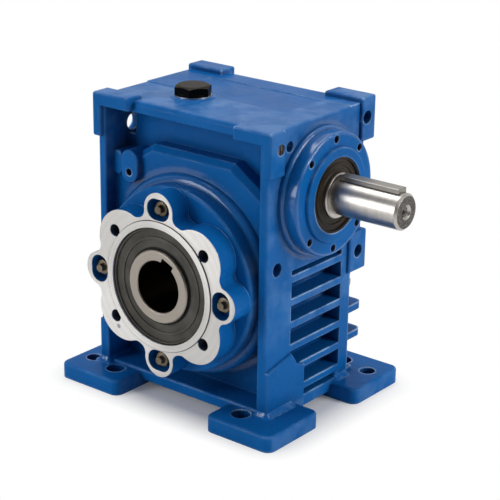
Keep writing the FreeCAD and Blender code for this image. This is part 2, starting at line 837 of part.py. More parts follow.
def short_lobes(reach):
    """Rules for the four points of the short lobes, which lie nearer to the level lobes."""
    points = []
    for up in (1, -1):
        for side in (1, -1):
            x = f"{side} * cos(short_lobe_turn) * ({reach})"
            z = f"output_height + {up} * sin(short_lobe_turn) * ({reach})"
            points.append((x, z))
    return points


def lobed_plate(name, start, end):
    """A disc with four long and four short round lobes, blended where the round outlines meet."""
    rings = [("cover_disc_radius", OUTPUT_AXIS)]
    reach = "long_lobe_tip - long_lobe_radius"
    rings += [("long_lobe_radius", around(reach, angle)) for angle in FRONT_LOBES]
    rings += [("short_lobe_radius", point) for point in short_lobes("short_lobe_tip - short_lobe_radius")]
    discs = [rod(f"{name}_round_{i}", "Y", radius, start, end, at) for i, (radius, at) in enumerate(rings)]
    star = fuse(f"{name}_star", discs)
    circles = [(size(radius), size(x), size(z)) for radius, (x, z) in rings]

    def seam(edge):
        point = edge.CenterOfMass
        met = [abs(math.hypot(point.x - x, point.z - z) - radius) < 0.01 for radius, x, z in circles]
        return along(edge, "Y") and sum(met) > 1

    return rounded(name, star, ("lobe_blend", seam))


def screw_recess(angle):
    """A long round-ended recess, lying along the rim, that sinks one cover screw."""
    flat = "recess_length - recess_width"
    bottom = "-cover_face + recess_depth"
    front = "-cover_face - 1"
    x, z = around("recess_circle / 2", angle)
    upright = angle in (0, 180)
    across, up = ("recess_width / 2", f"({flat}) / 2") if upright else (f"({flat}) / 2", "recess_width / 2")
    level, height = (f"{x} - {across}", f"{x} + {across}"), (f"{z} - {up}", f"{z} + {up}")
    middle = block(f"recess_{angle}_middle", level, (front, bottom), height)
    ends = []
    for sign in (-1, 1):
        shift = sided(sign, f"({flat}) / 2")
        at = (x, f"{z} + {shift}") if upright else (f"{x} + {shift}", z)
        ends.append(rod(f"recess_{angle}_end_{sign}", "Y", "recess_width / 2", front, bottom, at))
    return fuse(f"recess_{angle}", [middle] + ends)


def cap_screw(name, radius, head_radius, head_height, grip, seat, sign, centre):
    """A socket-head cap screw along Y with its head outside the seat."""
    shank = rod(f"{name}_shank", "Y", radius, *span(sign, f"{seat} - ({grip})", seat), centre)
    head = rod(f"{name}_head", "Y", head_radius, *span(sign, seat, f"{seat} + {head_height}"), centre)
    socket = rod(f"{name}_socket", "Y", "socket_width / 2",
                 *span(sign, f"{seat} + {head_height} / 2", f"{seat} + {head_height} + 1"), centre)
    return cut(name, fuse(f"{name}_blank", [shank, head]), [socket])


def group(label, parts):
    """Like fasteners kept as separate solids in one node."""
    bundle = doc.addObject("Part::Compound", label)
    bundle.Links = parts
    return node(label, bundle)


def cover_screws():
    front = [
        cap_screw(f"cover_screw_{angle}", "screw_radius", "screw_head_radius", "screw_head",
                  "cover_face - recess_depth - seat_front + screw_grip", "(cover_face - recess_depth)", -1,
                  around("recess_circle / 2", angle))
        for angle in FRONT_LOBES
    ]
    group("output_cover_screws", front)
    rear = [
        cap_screw(f"rear_screw_{index}", "rear_screw_radius", "rear_screw_head_radius", "rear_screw_head",
                  "rear_cover_face - rear_drum_face + screw_grip - 1", "rear_cover_face", 1,
                  around("rear_screw_circle / 2", 360 / REAR_SCREWS * (index + 0.5)))
        for index in range(REAR_SCREWS)
    ]
    group("rear_cover_screws", rear)


def rear_cover():
    """Turned cover that closes the wheel's opening and carries the rear bearing and seal."""
    face = "rear_cover_face - rear_drum_face"
    start = "rear_drum_face - output_bearing_width"
    flange = "output_bearing_width + gasket_thickness"
    profile = [
        ("output_bearing_outer", "0"),
        (f"{CHAMBER}", "0"),
        (f"{CHAMBER}", flange),
        ("rear_drum_radius", flange),
        ("rear_drum_radius", f"output_bearing_width + {face}"),
        ("output_bearing_outer", f"output_bearing_width + {face}"),
        ("output_bearing_outer", f"rear_seal_face - output_seal_width - ({start})"),
        ("bearing_lip", f"rear_seal_face - output_seal_width - ({start})"),
        ("bearing_lip", f"rear_bearing_end - ({start})"),
        ("output_bearing_outer", f"rear_bearing_end - ({start})"),
    ]
    disc = turned("rear_cover_disc", "Y", profile, start, "output_height")
    holes = [
        rod(f"rear_screw_hole_{index}", "Y", "rear_screw_radius", "rear_drum_face", "rear_cover_face + 1",
            around("rear_screw_circle / 2", 360 / REAR_SCREWS * (index + 0.5)))
        for index in range(REAR_SCREWS)
    ]
    return node("rear_cover", cut("rear_cover", disc, holes))


def gaskets():
    """Thin paper rings under the two covers, punched for the screws."""
    low, high = "-seat_front - gasket_thickness", "-seat_front"
    lobed = lobed_plate("gasket_outline", low, high)
    punched = [rod("gasket_bore", "Y", "cover_spigot_radius", f"{low} - 1", f"{high} + 1", OUTPUT_AXIS)]
    for angle in FRONT_LOBES:
        at = around("recess_circle / 2", angle)
        hole = rod(f"gasket_hole_{angle}", "Y", "screw_radius + 0.3", f"{low} - 1", f"{high} + 1", at)
        punched.append(hole)
    node("output_cover_gasket", cut("output_cover_gasket", lobed, punched))
    rear = [(CHAMBER, "0"), ("rear_drum_radius", "0"),
            ("rear_drum_radius", "gasket_thickness"), (CHAMBER, "gasket_thickness")]
    ring = turned("rear_gasket_ring", "Y", rear, "rear_drum_face", "output_height")
    holes = [
        rod(f"rear_gasket_hole_{index}", "Y", "rear_screw_radius", "rear_drum_face - 1", "rear_drum_face + 1",
            around("rear_screw_circle / 2", 360 / REAR_SCREWS * (index + 0.5)))
        for index in range(REAR_SCREWS)
    ]
    node("rear_cover_gasket", cut("rear_cover_gasket", ring, holes))


def lip_seal(label, axis, inner, outer, width, start, centre_z, outward):
    """A lip seal: rubber-covered case with ridges on the outer face and a lip just clear of the shaft."""
    lip = f"{inner} + seal_clearance"
    mid = f"({inner} + {outer}) / 2"
    ridge = f"({outer} - {inner}) / 8"
    dip = f"{width} / 6"
    front = [
        (outer, width),
        (f"{outer} - {ridge}", width),
        (f"{outer} - {ridge}", f"{width} - {dip}"),
        (f"{mid} + {ridge} / 2", f"{width} - {dip}"),
        (f"{mid} + {ridge} / 2", f"{width} - {dip} / 2"),
        (f"{mid} - {ridge} / 2", f"{width} - {dip} / 2"),
        (f"{mid} - {ridge} / 2", f"{width} - {dip}"),
        (f"{inner} + {ridge} * 1.4", f"{width} - {dip}"),
        (lip, f"{width} - {dip} / 2"),
    ]
    back = [
        (lip, f"{width} / 2"),
        (f"{inner} + {ridge}", "0"),
        (f"{inner} + {ridge} * 2", "0"),
        (f"{inner} + {ridge} * 2", f"{width} / 2"),
        (f"{outer} - {ridge}", f"{width} / 2"),
        (f"{outer} - {ridge}", "0"),
        (outer, "0"),
    ]
    profile = front + back
    if outward < 0:
        profile = [(radius, f"{width} - ({length})") for radius, length in profile]
    return node(label, turned(label, axis, profile, start, centre_z))


def seals():
    lip_seal("front_output_seal", "Y", "hollow_radius", "output_bearing_outer", "output_seal_width",
             "-front_seal_face", "output_height", -1)
    lip_seal("rear_output_seal", "Y", "hollow_radius", "output_bearing_outer", "output_seal_width",
             "rear_seal_face - output_seal_width", "output_height", 1)
    lip_seal("input_seal", "X", "input_bearing_bore", "input_seal_outer", "input_seal_width",
             "input_seal_face - input_seal_width", INPUT, 1)


def taper_bearing(label, axis, bore, outer, width, start, centre_z, wide, count):
    """A taper roller bearing as cup, cone, rollers and cage. wide is the end where the cup opens out."""
    wall = f"({outer} - {bore})"
    cone_race = f"({bore} + 0.30 * {wall})"
    cup_race = f"({outer} - 0.18 * {wall})"
    cone_slope = "race_slope"
    cup_slope = f"(race_slope * {cup_race} / {cone_race})"
    half = f"({width} / 2)"
    rib = f"(0.12 * {wall})"
    edge = f"(0.14 * {width})"

    def along_width(length):
        return length if wide > 0 else f"{width} - ({length})"

    cup = [
        (outer, f"0.05 * {width}"),
        (f"{cup_race} - {cup_slope} * 0.45 * {width}", f"0.05 * {width}"),
        (f"{cup_race} + {cup_slope} * 0.40 * {width}", f"0.90 * {width}"),
        (outer, f"0.90 * {width}"),
    ]
    cone = [
        (bore, "0"),
        (f"{cone_race} - {cone_slope} * {half} + {rib} * 0.7", "0"),
        (f"{cone_race} - {cone_slope} * {half} + {rib} * 0.7", edge),
        (f"{cone_race} - {cone_slope} * ({half} - {edge})", edge),
        (f"{cone_race} + {cone_slope} * ({half} - {edge})", f"{width} - {edge}"),
        (f"{cone_race} + {cone_slope} * {half} + {rib}", f"{width} - {edge}"),
        (f"{cone_race} + {cone_slope} * {half} + {rib}", width),
        (bore, width),
    ]
    for part, profile in (("cup", cup), ("cone", cone)):
        ring = [(radius, along_width(place_along)) for radius, place_along in profile]
        node(f"{label}_{part}", turned(f"{label}_{part}", axis, ring, start, centre_z))

    cone_radius, cup_radius, slope = size(cone_race), size(cup_race), size("race_slope")
    apex = cone_radius / slope
    cone_angle, cup_angle = math.atan(slope), math.atan(cup_radius / apex)
    tilt, taper = (cone_angle + cup_angle) / 2, (cup_angle - cone_angle) / 2
    reach = apex / math.cos(tilt)
    length = size(f"{width} - 2 * {edge}") * 0.84
    clear = size("roller_clearance")
    small = (reach - length / 2) * math.tan(taper) - clear
    large = (reach + length / 2) * math.tan(taper) - clear
    way = Vector(0, 0, 1) if axis == "Z" else (Vector(1, 0, 0) if axis == "X" else Vector(0, 1, 0))
    way = way * (1 if wide > 0 else -1)
    middle = Vector(0, 0, size(centre_z)) + (Vector(1, 0, 0) if axis == "X" else Vector(0, 1, 0)) * (
        size(start) + size(half)
    )
    tip = middle - way * apex
    rollers, pockets = [], []
    for index in range(count):
        turn = FreeCAD.Rotation(way, 360 / count * index)
        out = turn.multVec(Vector(0, 0, 1))
        line = way * math.cos(tilt) + out * math.sin(tilt)
        foot = tip + line * (reach - length / 2)
        rollers.append(Part.makeCone(small, large, length, foot, line))
        below = foot - line * 4 * clear
        pockets.append(Part.makeCone(small + 2 * clear, large + 2 * clear, length + 8 * clear, below, line))
    set_of_rollers = doc.addObject("Part::Feature", f"{label}_rollers")
    set_of_rollers.Shape = Part.makeCompound(rollers)
    node(f"{label}_rollers", set_of_rollers)

    shell_half = length / 2 + 0.05 * size(width)
    thick = small * 0.35
    shell = []
    for grow in (thick, -thick):
        base = tip + way * (apex - shell_half)
        low = (apex - shell_half) * math.tan(tilt) + grow
        high = (apex + shell_half) * math.tan(tilt) + grow
        shell.append(Part.makeCone(low, high, 2 * shell_half, base, way))
    cage = doc.addObject("Part::Feature", f"{label}_cage")
    cage.Shape = shell[0].cut(shell[1]).cut(Part.makeCompound(pockets))
    node(f"{label}_cage", cage)


def bearings():
    taper_bearing("front_bearing", "Y", "hollow_radius", "output_bearing_outer", "output_bearing_width",
                  "-front_bearing_end", "output_height", 1, 16)
    taper_bearing("rear_bearing", "Y", "hollow_radius", "output_bearing_outer", "output_bearing_width",
                  REAR_BEARING_START, "output_height", -1, 16)
    taper_bearing("input_bearing", "X", "input_bearing_bore", "input_bearing_outer", "input_bearing_width",
                  "input_bearing_start", INPUT, -1, 11)
    taper_bearing("tail_bearing", "X", "tail_bearing_bore", "tail_bearing_outer", "tail_bearing_width",
                  "-tail_bearing_start - tail_bearing_width", INPUT, 1, 10)


def hollow_output_shaft():
    """Keyed hollow shaft with the wheel hub turned on it."""
    length = "hollow_front + hollow_rear"
    hub_low, hub_high = "hollow_front - hub_half_width", "hollow_front + hub_half_width"
    profile = [
        ("bore_radius", "0.8"),
        ("bore_radius + 0.8", "0"),
        ("hollow_radius - 0.8", "0"),
        ("hollow_radius", "0.8"),
        ("hollow_radius", hub_low),
        ("hub_radius", hub_low),
        ("hub_radius", hub_high),
        ("hollow_radius", hub_high),
        ("hollow_radius", f"{length} - 0.8"),
        ("hollow_radius - 0.8", length),
        ("bore_radius + 0.8", length),
        ("bore_radius", f"{length} - 0.8"),
    ]
    tube = turned("hollow_tube", "Y", profile, "-hollow_front", "output_height")
    keyway = doc.addObject("Part::Box", "bore_keyway")
    tie(keyway, "Length", "bore_key_width")
    tie(keyway, "Width", f"{length} + 2")
    tie(keyway, "Height", "bore_radius + bore_key_height")
    turn = size("bore_key_turn")
    keyway.Placement = FreeCAD.Placement(Vector(), FreeCAD.Rotation(Vector(0, 1, 0), turn))
    left = "-cos(bore_key_turn) * bore_key_width / 2"
    place(keyway, left, "-hollow_front - 1", "output_height + sin(bore_key_turn) * bore_key_width / 2")
    holes = [lock_screw_rod(f"hub_lock_hole_{i}", i) for i in range(LOCK_SCREWS)]
    return node("hollow_output_shaft", cut("hollow_output_shaft", tube, [keyway] + holes))


def lock_screw_rod(name, index):
    """One grub screw's space, half in the hub and half in the rim."""
    return rod(name, "Y", "lock_screw_radius", "-rim_half_width", "-rim_half_width + lock_screw_length",
               around("hub_radius", 360 / LOCK_SCREWS * index + 45))


def tooth_gap(half_width):
    """One gap between wheel teeth: the space swept by the worm thread, found slice by slice across the rim.

    In a slice at distance y from the middle plane the turning worm is a rack that slides along X, so each flank
    point meets the wheel where its normal passes through the pitch point.
    """
    module, teeth = size("gear_module"), size("wheel_teeth")
    wheel_pitch, worm_pitch, tip = size(WHEEL_PITCH), size(WORM_PITCH), size(WORM_TIP)
    rise, slope = size(WORM_LEAD) / (2 * math.pi), math.tan(math.radians(size("thread_angle")))
    outer = size(WHEEL_OUTER) - wheel_pitch + 1
    clear, root = size("tooth_clearance"), size("root_clearance") * module

    def flank(side, y, v):
        depth = worm_pitch - v
        radius = math.hypot(y, depth)
        return rise * math.atan2(y, depth) + side * (math.pi * module / 4 - (radius - worm_pitch) * slope)

    def wheel_point(side, y, v):
        step = 1e-4
        u = flank(side, y, v)
        lean = (flank(side, y, v + step) - flank(side, y, v - step)) / (2 * step)
        shift = -v / lean - u
        radius = math.hypot(u + shift, wheel_pitch + v)
        angle = math.atan2(u + shift, wheel_pitch + v) - shift / wheel_pitch
        return radius, angle + side * clear / radius

    sections = []
    for y in (-half_width, -0.45 * half_width, 0, 0.45 * half_width, half_width):
        low = worm_pitch - math.sqrt(tip * tip - y * y)
        levels = [low, low + 0.33 * (outer - low), low + 0.66 * (outer - low), outer]
        left = [wheel_point(-1, y, v) for v in levels]
        right = [wheel_point(1, y, v) for v in levels]
        middle, half_gap = (left[0][1] + right[0][1]) / 2, (right[0][1] - left[0][1]) / 2
        floor = wheel_pitch + low - root
        bottom = [(floor, middle - 0.86 * half_gap), (floor, middle + 0.86 * half_gap)]
        ring = left[::-1] + bottom + right
        corners = [Vector(radius * math.sin(angle), y, radius * math.cos(angle)) for radius, angle in ring]
        sections.append(Part.makePolygon(corners + corners[:1]))
    return Part.makeLoft(sections, True, True)


def worm_wheel_rim():
    """Bronze rim with a throat that hugs the worm, and teeth cut as the worm itself would generate them."""
    half, hub, outer = size("rim_half_width"), size("hub_radius"), size(WHEEL_OUTER)
    centre = Vector(0, 0, size("output_height"))
    away = size("centre_distance")
    throat = size(WORM_ROOT) + size("root_clearance") * size("gear_module")
    corners = [Vector(hub, -half, 0), Vector(outer, -half, 0), Vector(outer, half, 0), Vector(hub, half, 0)]
    blank = Part.Face(Part.makePolygon(corners + corners[:1])).revolve(Vector(), Vector(0, 1, 0), 360)
    ring = Part.makeTorus(away, throat, Vector(), Vector(0, 1, 0))
    blank = blank.cut(ring)
    gap = tooth_gap(half + 1)
    teeth = int(size("wheel_teeth"))
    gaps = []
    for index in range(teeth):
        copy = gap.copy()
        copy.rotate(Vector(), Vector(0, 1, 0), 360 / teeth * index)
        gaps.append(copy)
    cogs = blank.cut(gaps)
    screws = []
    for index in range(LOCK_SCREWS):
        angle = math.radians(360 / LOCK_SCREWS * index + 45)
        at = Vector(hub * math.cos(angle), -half, hub * math.sin(angle))
        radius, length = size("lock_screw_radius"), size("lock_screw_length")
        screws.append(Part.makeCylinder(radius, length, at, Vector(0, 1, 0)))
    cogs = cogs.cut(screws)
    rim = doc.addObject("Part::Feature", "worm_wheel_rim")
    rim.Shape = cogs.Solids[0] if len(cogs.Solids) == 1 else cogs
    rim.Placement = FreeCAD.Placement(centre, FreeCAD.Rotation())
    return node("worm_wheel_rim", rim)


def output_spacers():
    for label, start, length in (
        ("front_spacer", f"-{FRONT_BEARING_START}", f"{FRONT_BEARING_START} - hub_half_width"),
        ("rear_spacer", "hub_half_width", f"{REAR_BEARING_START} - hub_half_width"),
    ):
        profile = [("hollow_radius", "0"), ("hollow_radius + 5", "0"), ("hollow_radius + 5", length),
                   ("hollow_radius", length)]
        node(label, turned(label, "Y", profile, start, "output_height"))


def worm_shaft():
    """Input shaft and worm in one piece: tail journal, thread, bearing shoulder, seal collar, keyed end."""
    start = "-tail_bearing_start - tail_bearing_width"
    zero = "tail_bearing_start + tail_bearing_width"
    thread_half = f"({WORM_LEAD} * worm_turns / 2 + gear_module * 1.6)"
    profile = [
        ("0", "0"),
        ("tail_bearing_bore - 1", "0"),
        ("tail_bearing_bore", "1"),
        ("tail_bearing_bore", "tail_bearing_width"),
        ("tail_bearing_bore + 3.5", "tail_bearing_width"),
        ("tail_bearing_bore + 3.5", f"{zero} - {thread_half} - 4"),
        (WORM_ROOT, f"{zero} - {thread_half}"),
        (WORM_ROOT, f"{zero} + {thread_half}"),
        ("worm_shoulder", f"{zero} + {thread_half} + 6"),
        ("worm_shoulder", f"{zero} + input_bearing_start"),
        ("input_bearing_bore", f"{zero} + input_bearing_start"),
        ("input_bearing_bore", f"{zero} + collar_face - 0.6"),
        ("input_bearing_bore - 0.6", f"{zero} + collar_face"),
        ("shaft_radius", f"{zero} + collar_face"),
        ("shaft_radius", f"{zero} + shaft_end - shaft_chamfer"),
        ("shaft_radius - shaft_chamfer", f"{zero} + shaft_end"),
        ("centre_cone_radius", f"{zero} + shaft_end"),
        ("0", f"{zero} + shaft_end - centre_cone_radius"),
    ]
    body = turned("worm_blank", "X", profile, start, INPUT)
    sketch = body.newObject("Sketcher::SketchObject", "thread_profile")
    sketch.AttachmentSupport = [(upright_plane(body), "")]
    sketch.MapMode = "FlatFace"
    first = f"{zero} - worm_turns / 2 * {WORM_LEAD}"
    sunk = f"({WORM_ROOT} - 0.4)"
    slope = "tan(thread_angle)"
    root_half = f"(pi * gear_module / 4 + ({WORM_PITCH} - {sunk}) * {slope})"
    tip_half = f"(pi * gear_module / 4 - gear_module * {slope})"
    outline(sketch, [
        (f"{first} - {root_half}", sunk),
        (f"{first} + {root_half}", sunk),
        (f"{first} + {tip_half}", WORM_TIP),
        (f"{first} - {tip_half}", WORM_TIP),
    ])
    thread = body.newObject("PartDesign::AdditiveHelix", "thread")
    thread.Profile = sketch
    thread.ReferenceAxis = (sketch, ["H_Axis"])
    thread.Mode = 0
    tie(thread, "Pitch", WORM_LEAD)
    tie(thread, "Height", f"{WORM_LEAD} * worm_turns")
    sketch.Visibility = False
    tools = [
        block("key_seat_cut", ("key_start", "key_start + key_length"), ("-key_width / 2", "key_width / 2"),
              (f"{INPUT} + shaft_radius - key_seat", f"{INPUT} + shaft_radius + 1")),
        rod("centre_hole", "X", "centre_hole_radius", "shaft_end - centre_hole_depth", "shaft_end + 1",
            INPUT_AXIS),
    ]
    return node("worm_shaft", cut("worm_shaft", body, tools))


def input_key():
    low = f"{INPUT} + shaft_radius - key_seat"
    bar = block("key_bar", ("key_start", "key_start + key_length"), ("-key_width / 2", "key_width / 2"),
                (low, f"{low} + key_height"))
    top = f"{low} + key_height"
    return node("input_key", rounded("input_key", bar, ("0.4", lambda edge: at_level(edge, "Z", top))))


def input_seal_carrier():
    """Flanged ring in the input bore that holds the input seal."""
    length = "carrier_length + carrier_face - boss_face"
    back = "input_seal_face - input_seal_width - boss_face + carrier_length"
    profile = [
        ("input_seal_outer - 3", "0"),
        ("input_bearing_outer", "0"),
        ("input_bearing_outer", "carrier_length"),
        ("carrier_radius", "carrier_length"),
        ("carrier_radius", f"{length} - 0.8"),
        ("carrier_radius - 0.8", length),
        ("input_seal_outer", length),
        ("input_seal_outer", back),
        ("input_seal_outer - 3", back),
    ]
    return node("input_seal_carrier",
                turned("input_seal_carrier", "X", profile, "boss_face - carrier_length", INPUT))


def circlip(label, bore, start):
    """Spring ring that sits in a groove of the bore, open by a gap at the bottom."""
    profile = [(f"{bore} - 3", "0"), (f"{bore} + circlip_groove", "0"),
               (f"{bore} + circlip_groove", "circlip_thickness"), (f"{bore} - 3", "circlip_thickness")]
    ring = turned(f"{label}_ring", "X", profile, start, INPUT)
    gap = block(f"{label}_gap", (f"{start} - 1", f"{start} + circlip_thickness + 1"),
                ("-circlip_gap / 2", "circlip_gap / 2"), (f"{INPUT} - {bore} * 2", INPUT))
    return node(label, cut(label, ring, [gap]))


def tail_end_cap():
    """Dished cap pressed into the blind end of the worm bore."""
    outer, thick = "tail_bearing_outer", "cap_thickness"
    profile = [
        ("0", "1.5"),
        (f"{outer} - 4", "1.5"),
        (f"{outer} - 3", "0"),
        (f"{outer} - 0.6", "0"),
        (outer, "0.6"),
        (outer, thick),
        (f"{outer} - 2", thick),
        (f"{outer} - 2", "3.5"),
        ("0", "3.5"),
    ]
    return node("tail_end_cap", turned("tail_end_cap", "X", profile, "-cap_face", INPUT))


def hexagon(name, across, start, height, x, y):
    prism_ = doc.addObject("Part::Prism", name)
    prism_.Polygon = 6
    tie(prism_, "Circumradius", f"{across} / (2 * cos(30))")
    tie(prism_, "Height", height)
    place(prism_, x, y, start)
    return prism_


def plugs():
    """Filler plug with its washer on the top plate, and a flush drain plug under the case."""
    seat = f"{TOP} + plug_boss_height"
    head_low = f"{seat} + washer_thickness"
    collar = rod("plug_collar", "Z", "washer_radius - 0.5", head_low, f"{head_low} + 1.2", PLUG_AXIS)
    head = hexagon("plug_hexagon", "plug_across_flats", head_low, "plug_head", "-plug_x", "-plug_y")
    dome = doc.addObject("Part::Cone", "plug_bevel")
    tie(dome, "Radius1", "plug_across_flats / 2 / cos(30) + plug_head * 1.8 - 1.2")
    tie(dome, "Radius2", "plug_across_flats / 2 - 1.2")
    tie(dome, "Height", "plug_head")
    place(dome, "-plug_x", "-plug_y", head_low)
    bevelled = doc.addObject("Part::Common", "plug_head_bevelled")
    bevelled.Base = head
    bevelled.Tool = dome
    shank = rod("plug_shank_rod", "Z", "plug_shank_radius", f"{seat} - plug_shank", head_low, PLUG_AXIS)
    node("filler_plug", fuse("filler_plug", [collar, bevelled, shank]))
    ring = rod("washer_disc", "Z", "washer_radius", seat, head_low, PLUG_AXIS)
    hole = rod("washer_hole", "Z", "plug_shank_radius", f"{seat} - 1", f"{head_low} + 1", PLUG_AXIS)
    node("filler_washer", cut("filler_washer", ring, [hole]))
    drain = rod("drain_rod", "Z", "plug_shank_radius", "base_relief", "base_relief + plug_shank", ("0", "0"))
    socket = hexagon("drain_socket", "8", "base_relief - 1", "7", "0", "0")
    node("drain_plug", cut("drain_plug", drain, [socket]))


def small_screws():
    """Grub screws between hub and rim, and the slotted screw in the near upper corner."""
    group("rim_lock_screws", [lock_screw_rod(f"rim_lock_screw_{i}", i) for i in range(LOCK_SCREWS)])
    face = "plate_reach_x + pad_out_x"
    y, z = "-plate_reach_y + 6.5", f"{TOP} - 12"
    start, end = f"{face} - set_screw_length - 1", f"{face} - 1"
    plug = rod("set_screw_rod", "X", "set_screw_radius", start, end, (y, z))
    slot = block("set_screw_slot", (f"{face} - 2.5", face), (f"{y} - 0.6", f"{y} + 0.6"),
                 (f"{z} - set_screw_radius - 1", f"{z} + set_screw_radius + 1"))
    node("corner_set_screw", cut("corner_set_screw", plug, [slot]))


housing()
output_cover()
rear_cover()
cover_screws()
gaskets()
seals()
bearings()
hollow_output_shaft()
worm_wheel_rim()
output_spacers()
worm_shaft()
input_key()
input_seal_carrier()
circlip("input_circlip", "input_bearing_outer", "input_bearing_start + input_bearing_width")
circlip("tail_circlip", "tail_bearing_outer", "-tail_bearing_start - tail_bearing_width - circlip_thickness")
tail_end_cap()
plugs()
small_screws()

doc.recompute()
for thing in doc.Objects:
    if "Invalid" in thing.State or "Error" in thing.State:
        raise RuntimeError(f"{thing.Name} failed: {thing.State}")
for label, thing in nodes.items():
    if thing.Shape.isNull() or not thing.Shape.isValid():
        raise RuntimeError(f"{label} has no valid shape")

os.makedirs("parts", exist_ok=True)
for label, thing in nodes.items():
    thing.Shape.exportStep(f"parts/{label}.step")
    print(f"{label}: {len(thing.Shape.Solids)} solids, {thing.Shape.Volume:.1f} mm3")
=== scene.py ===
import math

import bmesh
import bpy
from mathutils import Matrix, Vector


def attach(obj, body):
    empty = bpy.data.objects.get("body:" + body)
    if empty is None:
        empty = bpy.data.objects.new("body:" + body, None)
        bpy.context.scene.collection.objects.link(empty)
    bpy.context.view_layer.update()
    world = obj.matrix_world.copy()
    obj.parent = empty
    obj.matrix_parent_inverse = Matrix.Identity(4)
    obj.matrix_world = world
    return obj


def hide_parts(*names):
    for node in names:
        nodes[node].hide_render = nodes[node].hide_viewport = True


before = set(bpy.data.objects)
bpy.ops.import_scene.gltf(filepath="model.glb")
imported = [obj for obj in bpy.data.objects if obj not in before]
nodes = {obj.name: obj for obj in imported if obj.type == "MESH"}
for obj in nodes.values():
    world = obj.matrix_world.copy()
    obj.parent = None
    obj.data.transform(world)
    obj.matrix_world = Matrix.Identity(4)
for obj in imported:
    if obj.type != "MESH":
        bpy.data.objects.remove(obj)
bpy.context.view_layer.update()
scene = bpy.context.scene
scene.view_settings.view_transform = "Standard"


# Housing: one grey-iron sand casting with feet, end plates, gear case, drum, fins and bosses.
# It is machined on its seats and then sprayed all over with a blue machine enamel, which lets the sand grain
# show through in patches. Its colour also carries a painted highlight on the edges that face up and painted
# shade in the corners.
BLUE = (0.0040, 0.116, 0.385, 1)
BLUE_DEEP_AND_SHADE = (0.0008, 0.030, 0.130, 1)
BLUE_PAINTED_HIGHLIGHT = (0.44, 0.68, 1.0, 1)
PLAIN_GRAIN = 0.8
COARSE_GRAIN = 2.8
WET_GLOSS = 0.8
CORNER_REACH = 0.022
OUTPUT_HEIGHT = 0.091
INPUT_HEIGHT = 0.154
OUTPUT_LINE = ((0, 0, -OUTPUT_HEIGHT), (1, 0, 1), "Y")
INPUT_LINE = ((0, 0, -INPUT_HEIGHT), (0, 1, 1), "X")
DRUM_RIM_RADIUS = 0.068
DRUM_HALF_WIDTH = 0.046
BOSS_RIM_RADIUS = 0.0425
BOSS_RIM_PLACE = 0.081
FOOT_TOP = 0.011
TOP_MARGIN_FRONT = -0.007
TOP_MARGIN_RIGHT = 0.049


def shade(tree, kind, inputs=(), **settings):
    """Adds a shader node. inputs maps a socket to a value or to the socket that feeds it."""
    item = tree.nodes.new("ShaderNode" + kind)
    for name, value in settings.items():
        setattr(item, name, value)
    for socket, value in dict(inputs).items():
        if isinstance(value, bpy.types.NodeSocket):
            tree.links.new(value, item.inputs[socket])
        else:
            item.inputs[socket].default_value = value
    return item


def new_group(name, takes, gives):
    """An empty shader node group with its named inputs and outputs."""
    group = bpy.data.node_groups.new(name, "ShaderNodeTree")
    for socket, value in takes.items():
        made = group.interface.new_socket(socket, in_out="INPUT", socket_type="NodeSocketFloat")
        made.default_value = value
    for socket, kind in gives.items():
        group.interface.new_socket(socket, in_out="OUTPUT", socket_type="NodeSocket" + kind)
    return group, group.nodes.new("NodeGroupInput"), group.nodes.new("NodeGroupOutput")


def new_material(name, roughness=0.5, metallic=0.0, specular=0.5):
    """A material, its node tree and its shader, with the values that hold all over it."""
    material = bpy.data.materials.new(name)
    material.use_nodes = True
    tree = material.node_tree
    surface = tree.nodes["Principled BSDF"]
    surface.inputs["Roughness"].default_value = roughness
    surface.inputs["Metallic"].default_value = metallic
    surface.inputs["Specular IOR Level"].default_value = specular
    return material, tree, surface


def wire(tree, item, sockets):
    """Links sources to the named inputs of a node."""
    for name, source in sockets.items():
        tree.links.new(source, item.inputs[name])


def where(tree):
    """The place on the piece."""
    return shade(tree, "TexCoord").outputs["Object"]


def parts(tree, vector):
    """The X, Y and Z of a vector."""
    return shade(tree, "SeparateXYZ", {"Vector": vector}).outputs


def facing(tree):
    """The X, Y and Z of the way that the surface faces."""
    return parts(tree, shade(tree, "TexCoord").outputs["Normal"])


def noise(tree, place, scale, detail, roughness=0.5):
    """A cloudy pattern of a given fineness."""
    inputs = {"Vector": place, "Scale": scale, "Detail": detail, "Roughness": roughness}
    return shade(tree, "TexNoise", inputs).outputs["Fac"]


def reckon(tree, operation, *values):
    """The result of a sum on values and sockets."""
    return shade(tree, "Math", dict(enumerate(values)), operation=operation).outputs[0]


def product(tree, first, second):
    """One mask or value times another."""
    return reckon(tree, "MULTIPLY", first, second)


def larger(tree, first, second):
    """The larger of two masks or values."""
    return reckon(tree, "MAXIMUM", first, second)


def scaled(tree, value, low, high, to_low=0.0, to_high=1.0):
    """A value brought from one range to another and held there."""
    ends = {"Value": value, "From Min": low, "From Max": high, "To Min": to_low, "To Max": to_high}
    return shade(tree, "MapRange", ends).outputs["Result"]


def blend(tree, share, first, second):
    """One colour passing into another."""
    mixed = shade(tree, "Mix", {0: share, 6: first, 7: second}, data_type="RGBA")
    return mixed.outputs[2]


def relief(tree, height, strength, depth, round_edge=0.0):
    """The normal of a surface with a fine relief and, where asked, softly rounded edges."""
    inputs = {"Strength": strength, "Distance": depth, "Height": height}
    if round_edge:
        inputs["Normal"] = shade(tree, "Bevel", {"Radius": round_edge}, samples=6).outputs["Normal"]
    return shade(tree, "Bump", inputs).outputs["Normal"]


def about(tree, line):
    """Distance from a shaft axis and place along it."""
    shift, across, way = line
    place = where(tree)
    centred = shade(tree, "Mapping", {"Vector": place, "Location": shift}).outputs["Vector"]
    flat = shade(tree, "VectorMath", {0: centred, 1: across}, operation="MULTIPLY").outputs["Vector"]
    radius = shade(tree, "VectorMath", {0: flat}, operation="LENGTH").outputs["Value"]
    return radius, parts(tree, place)[way]


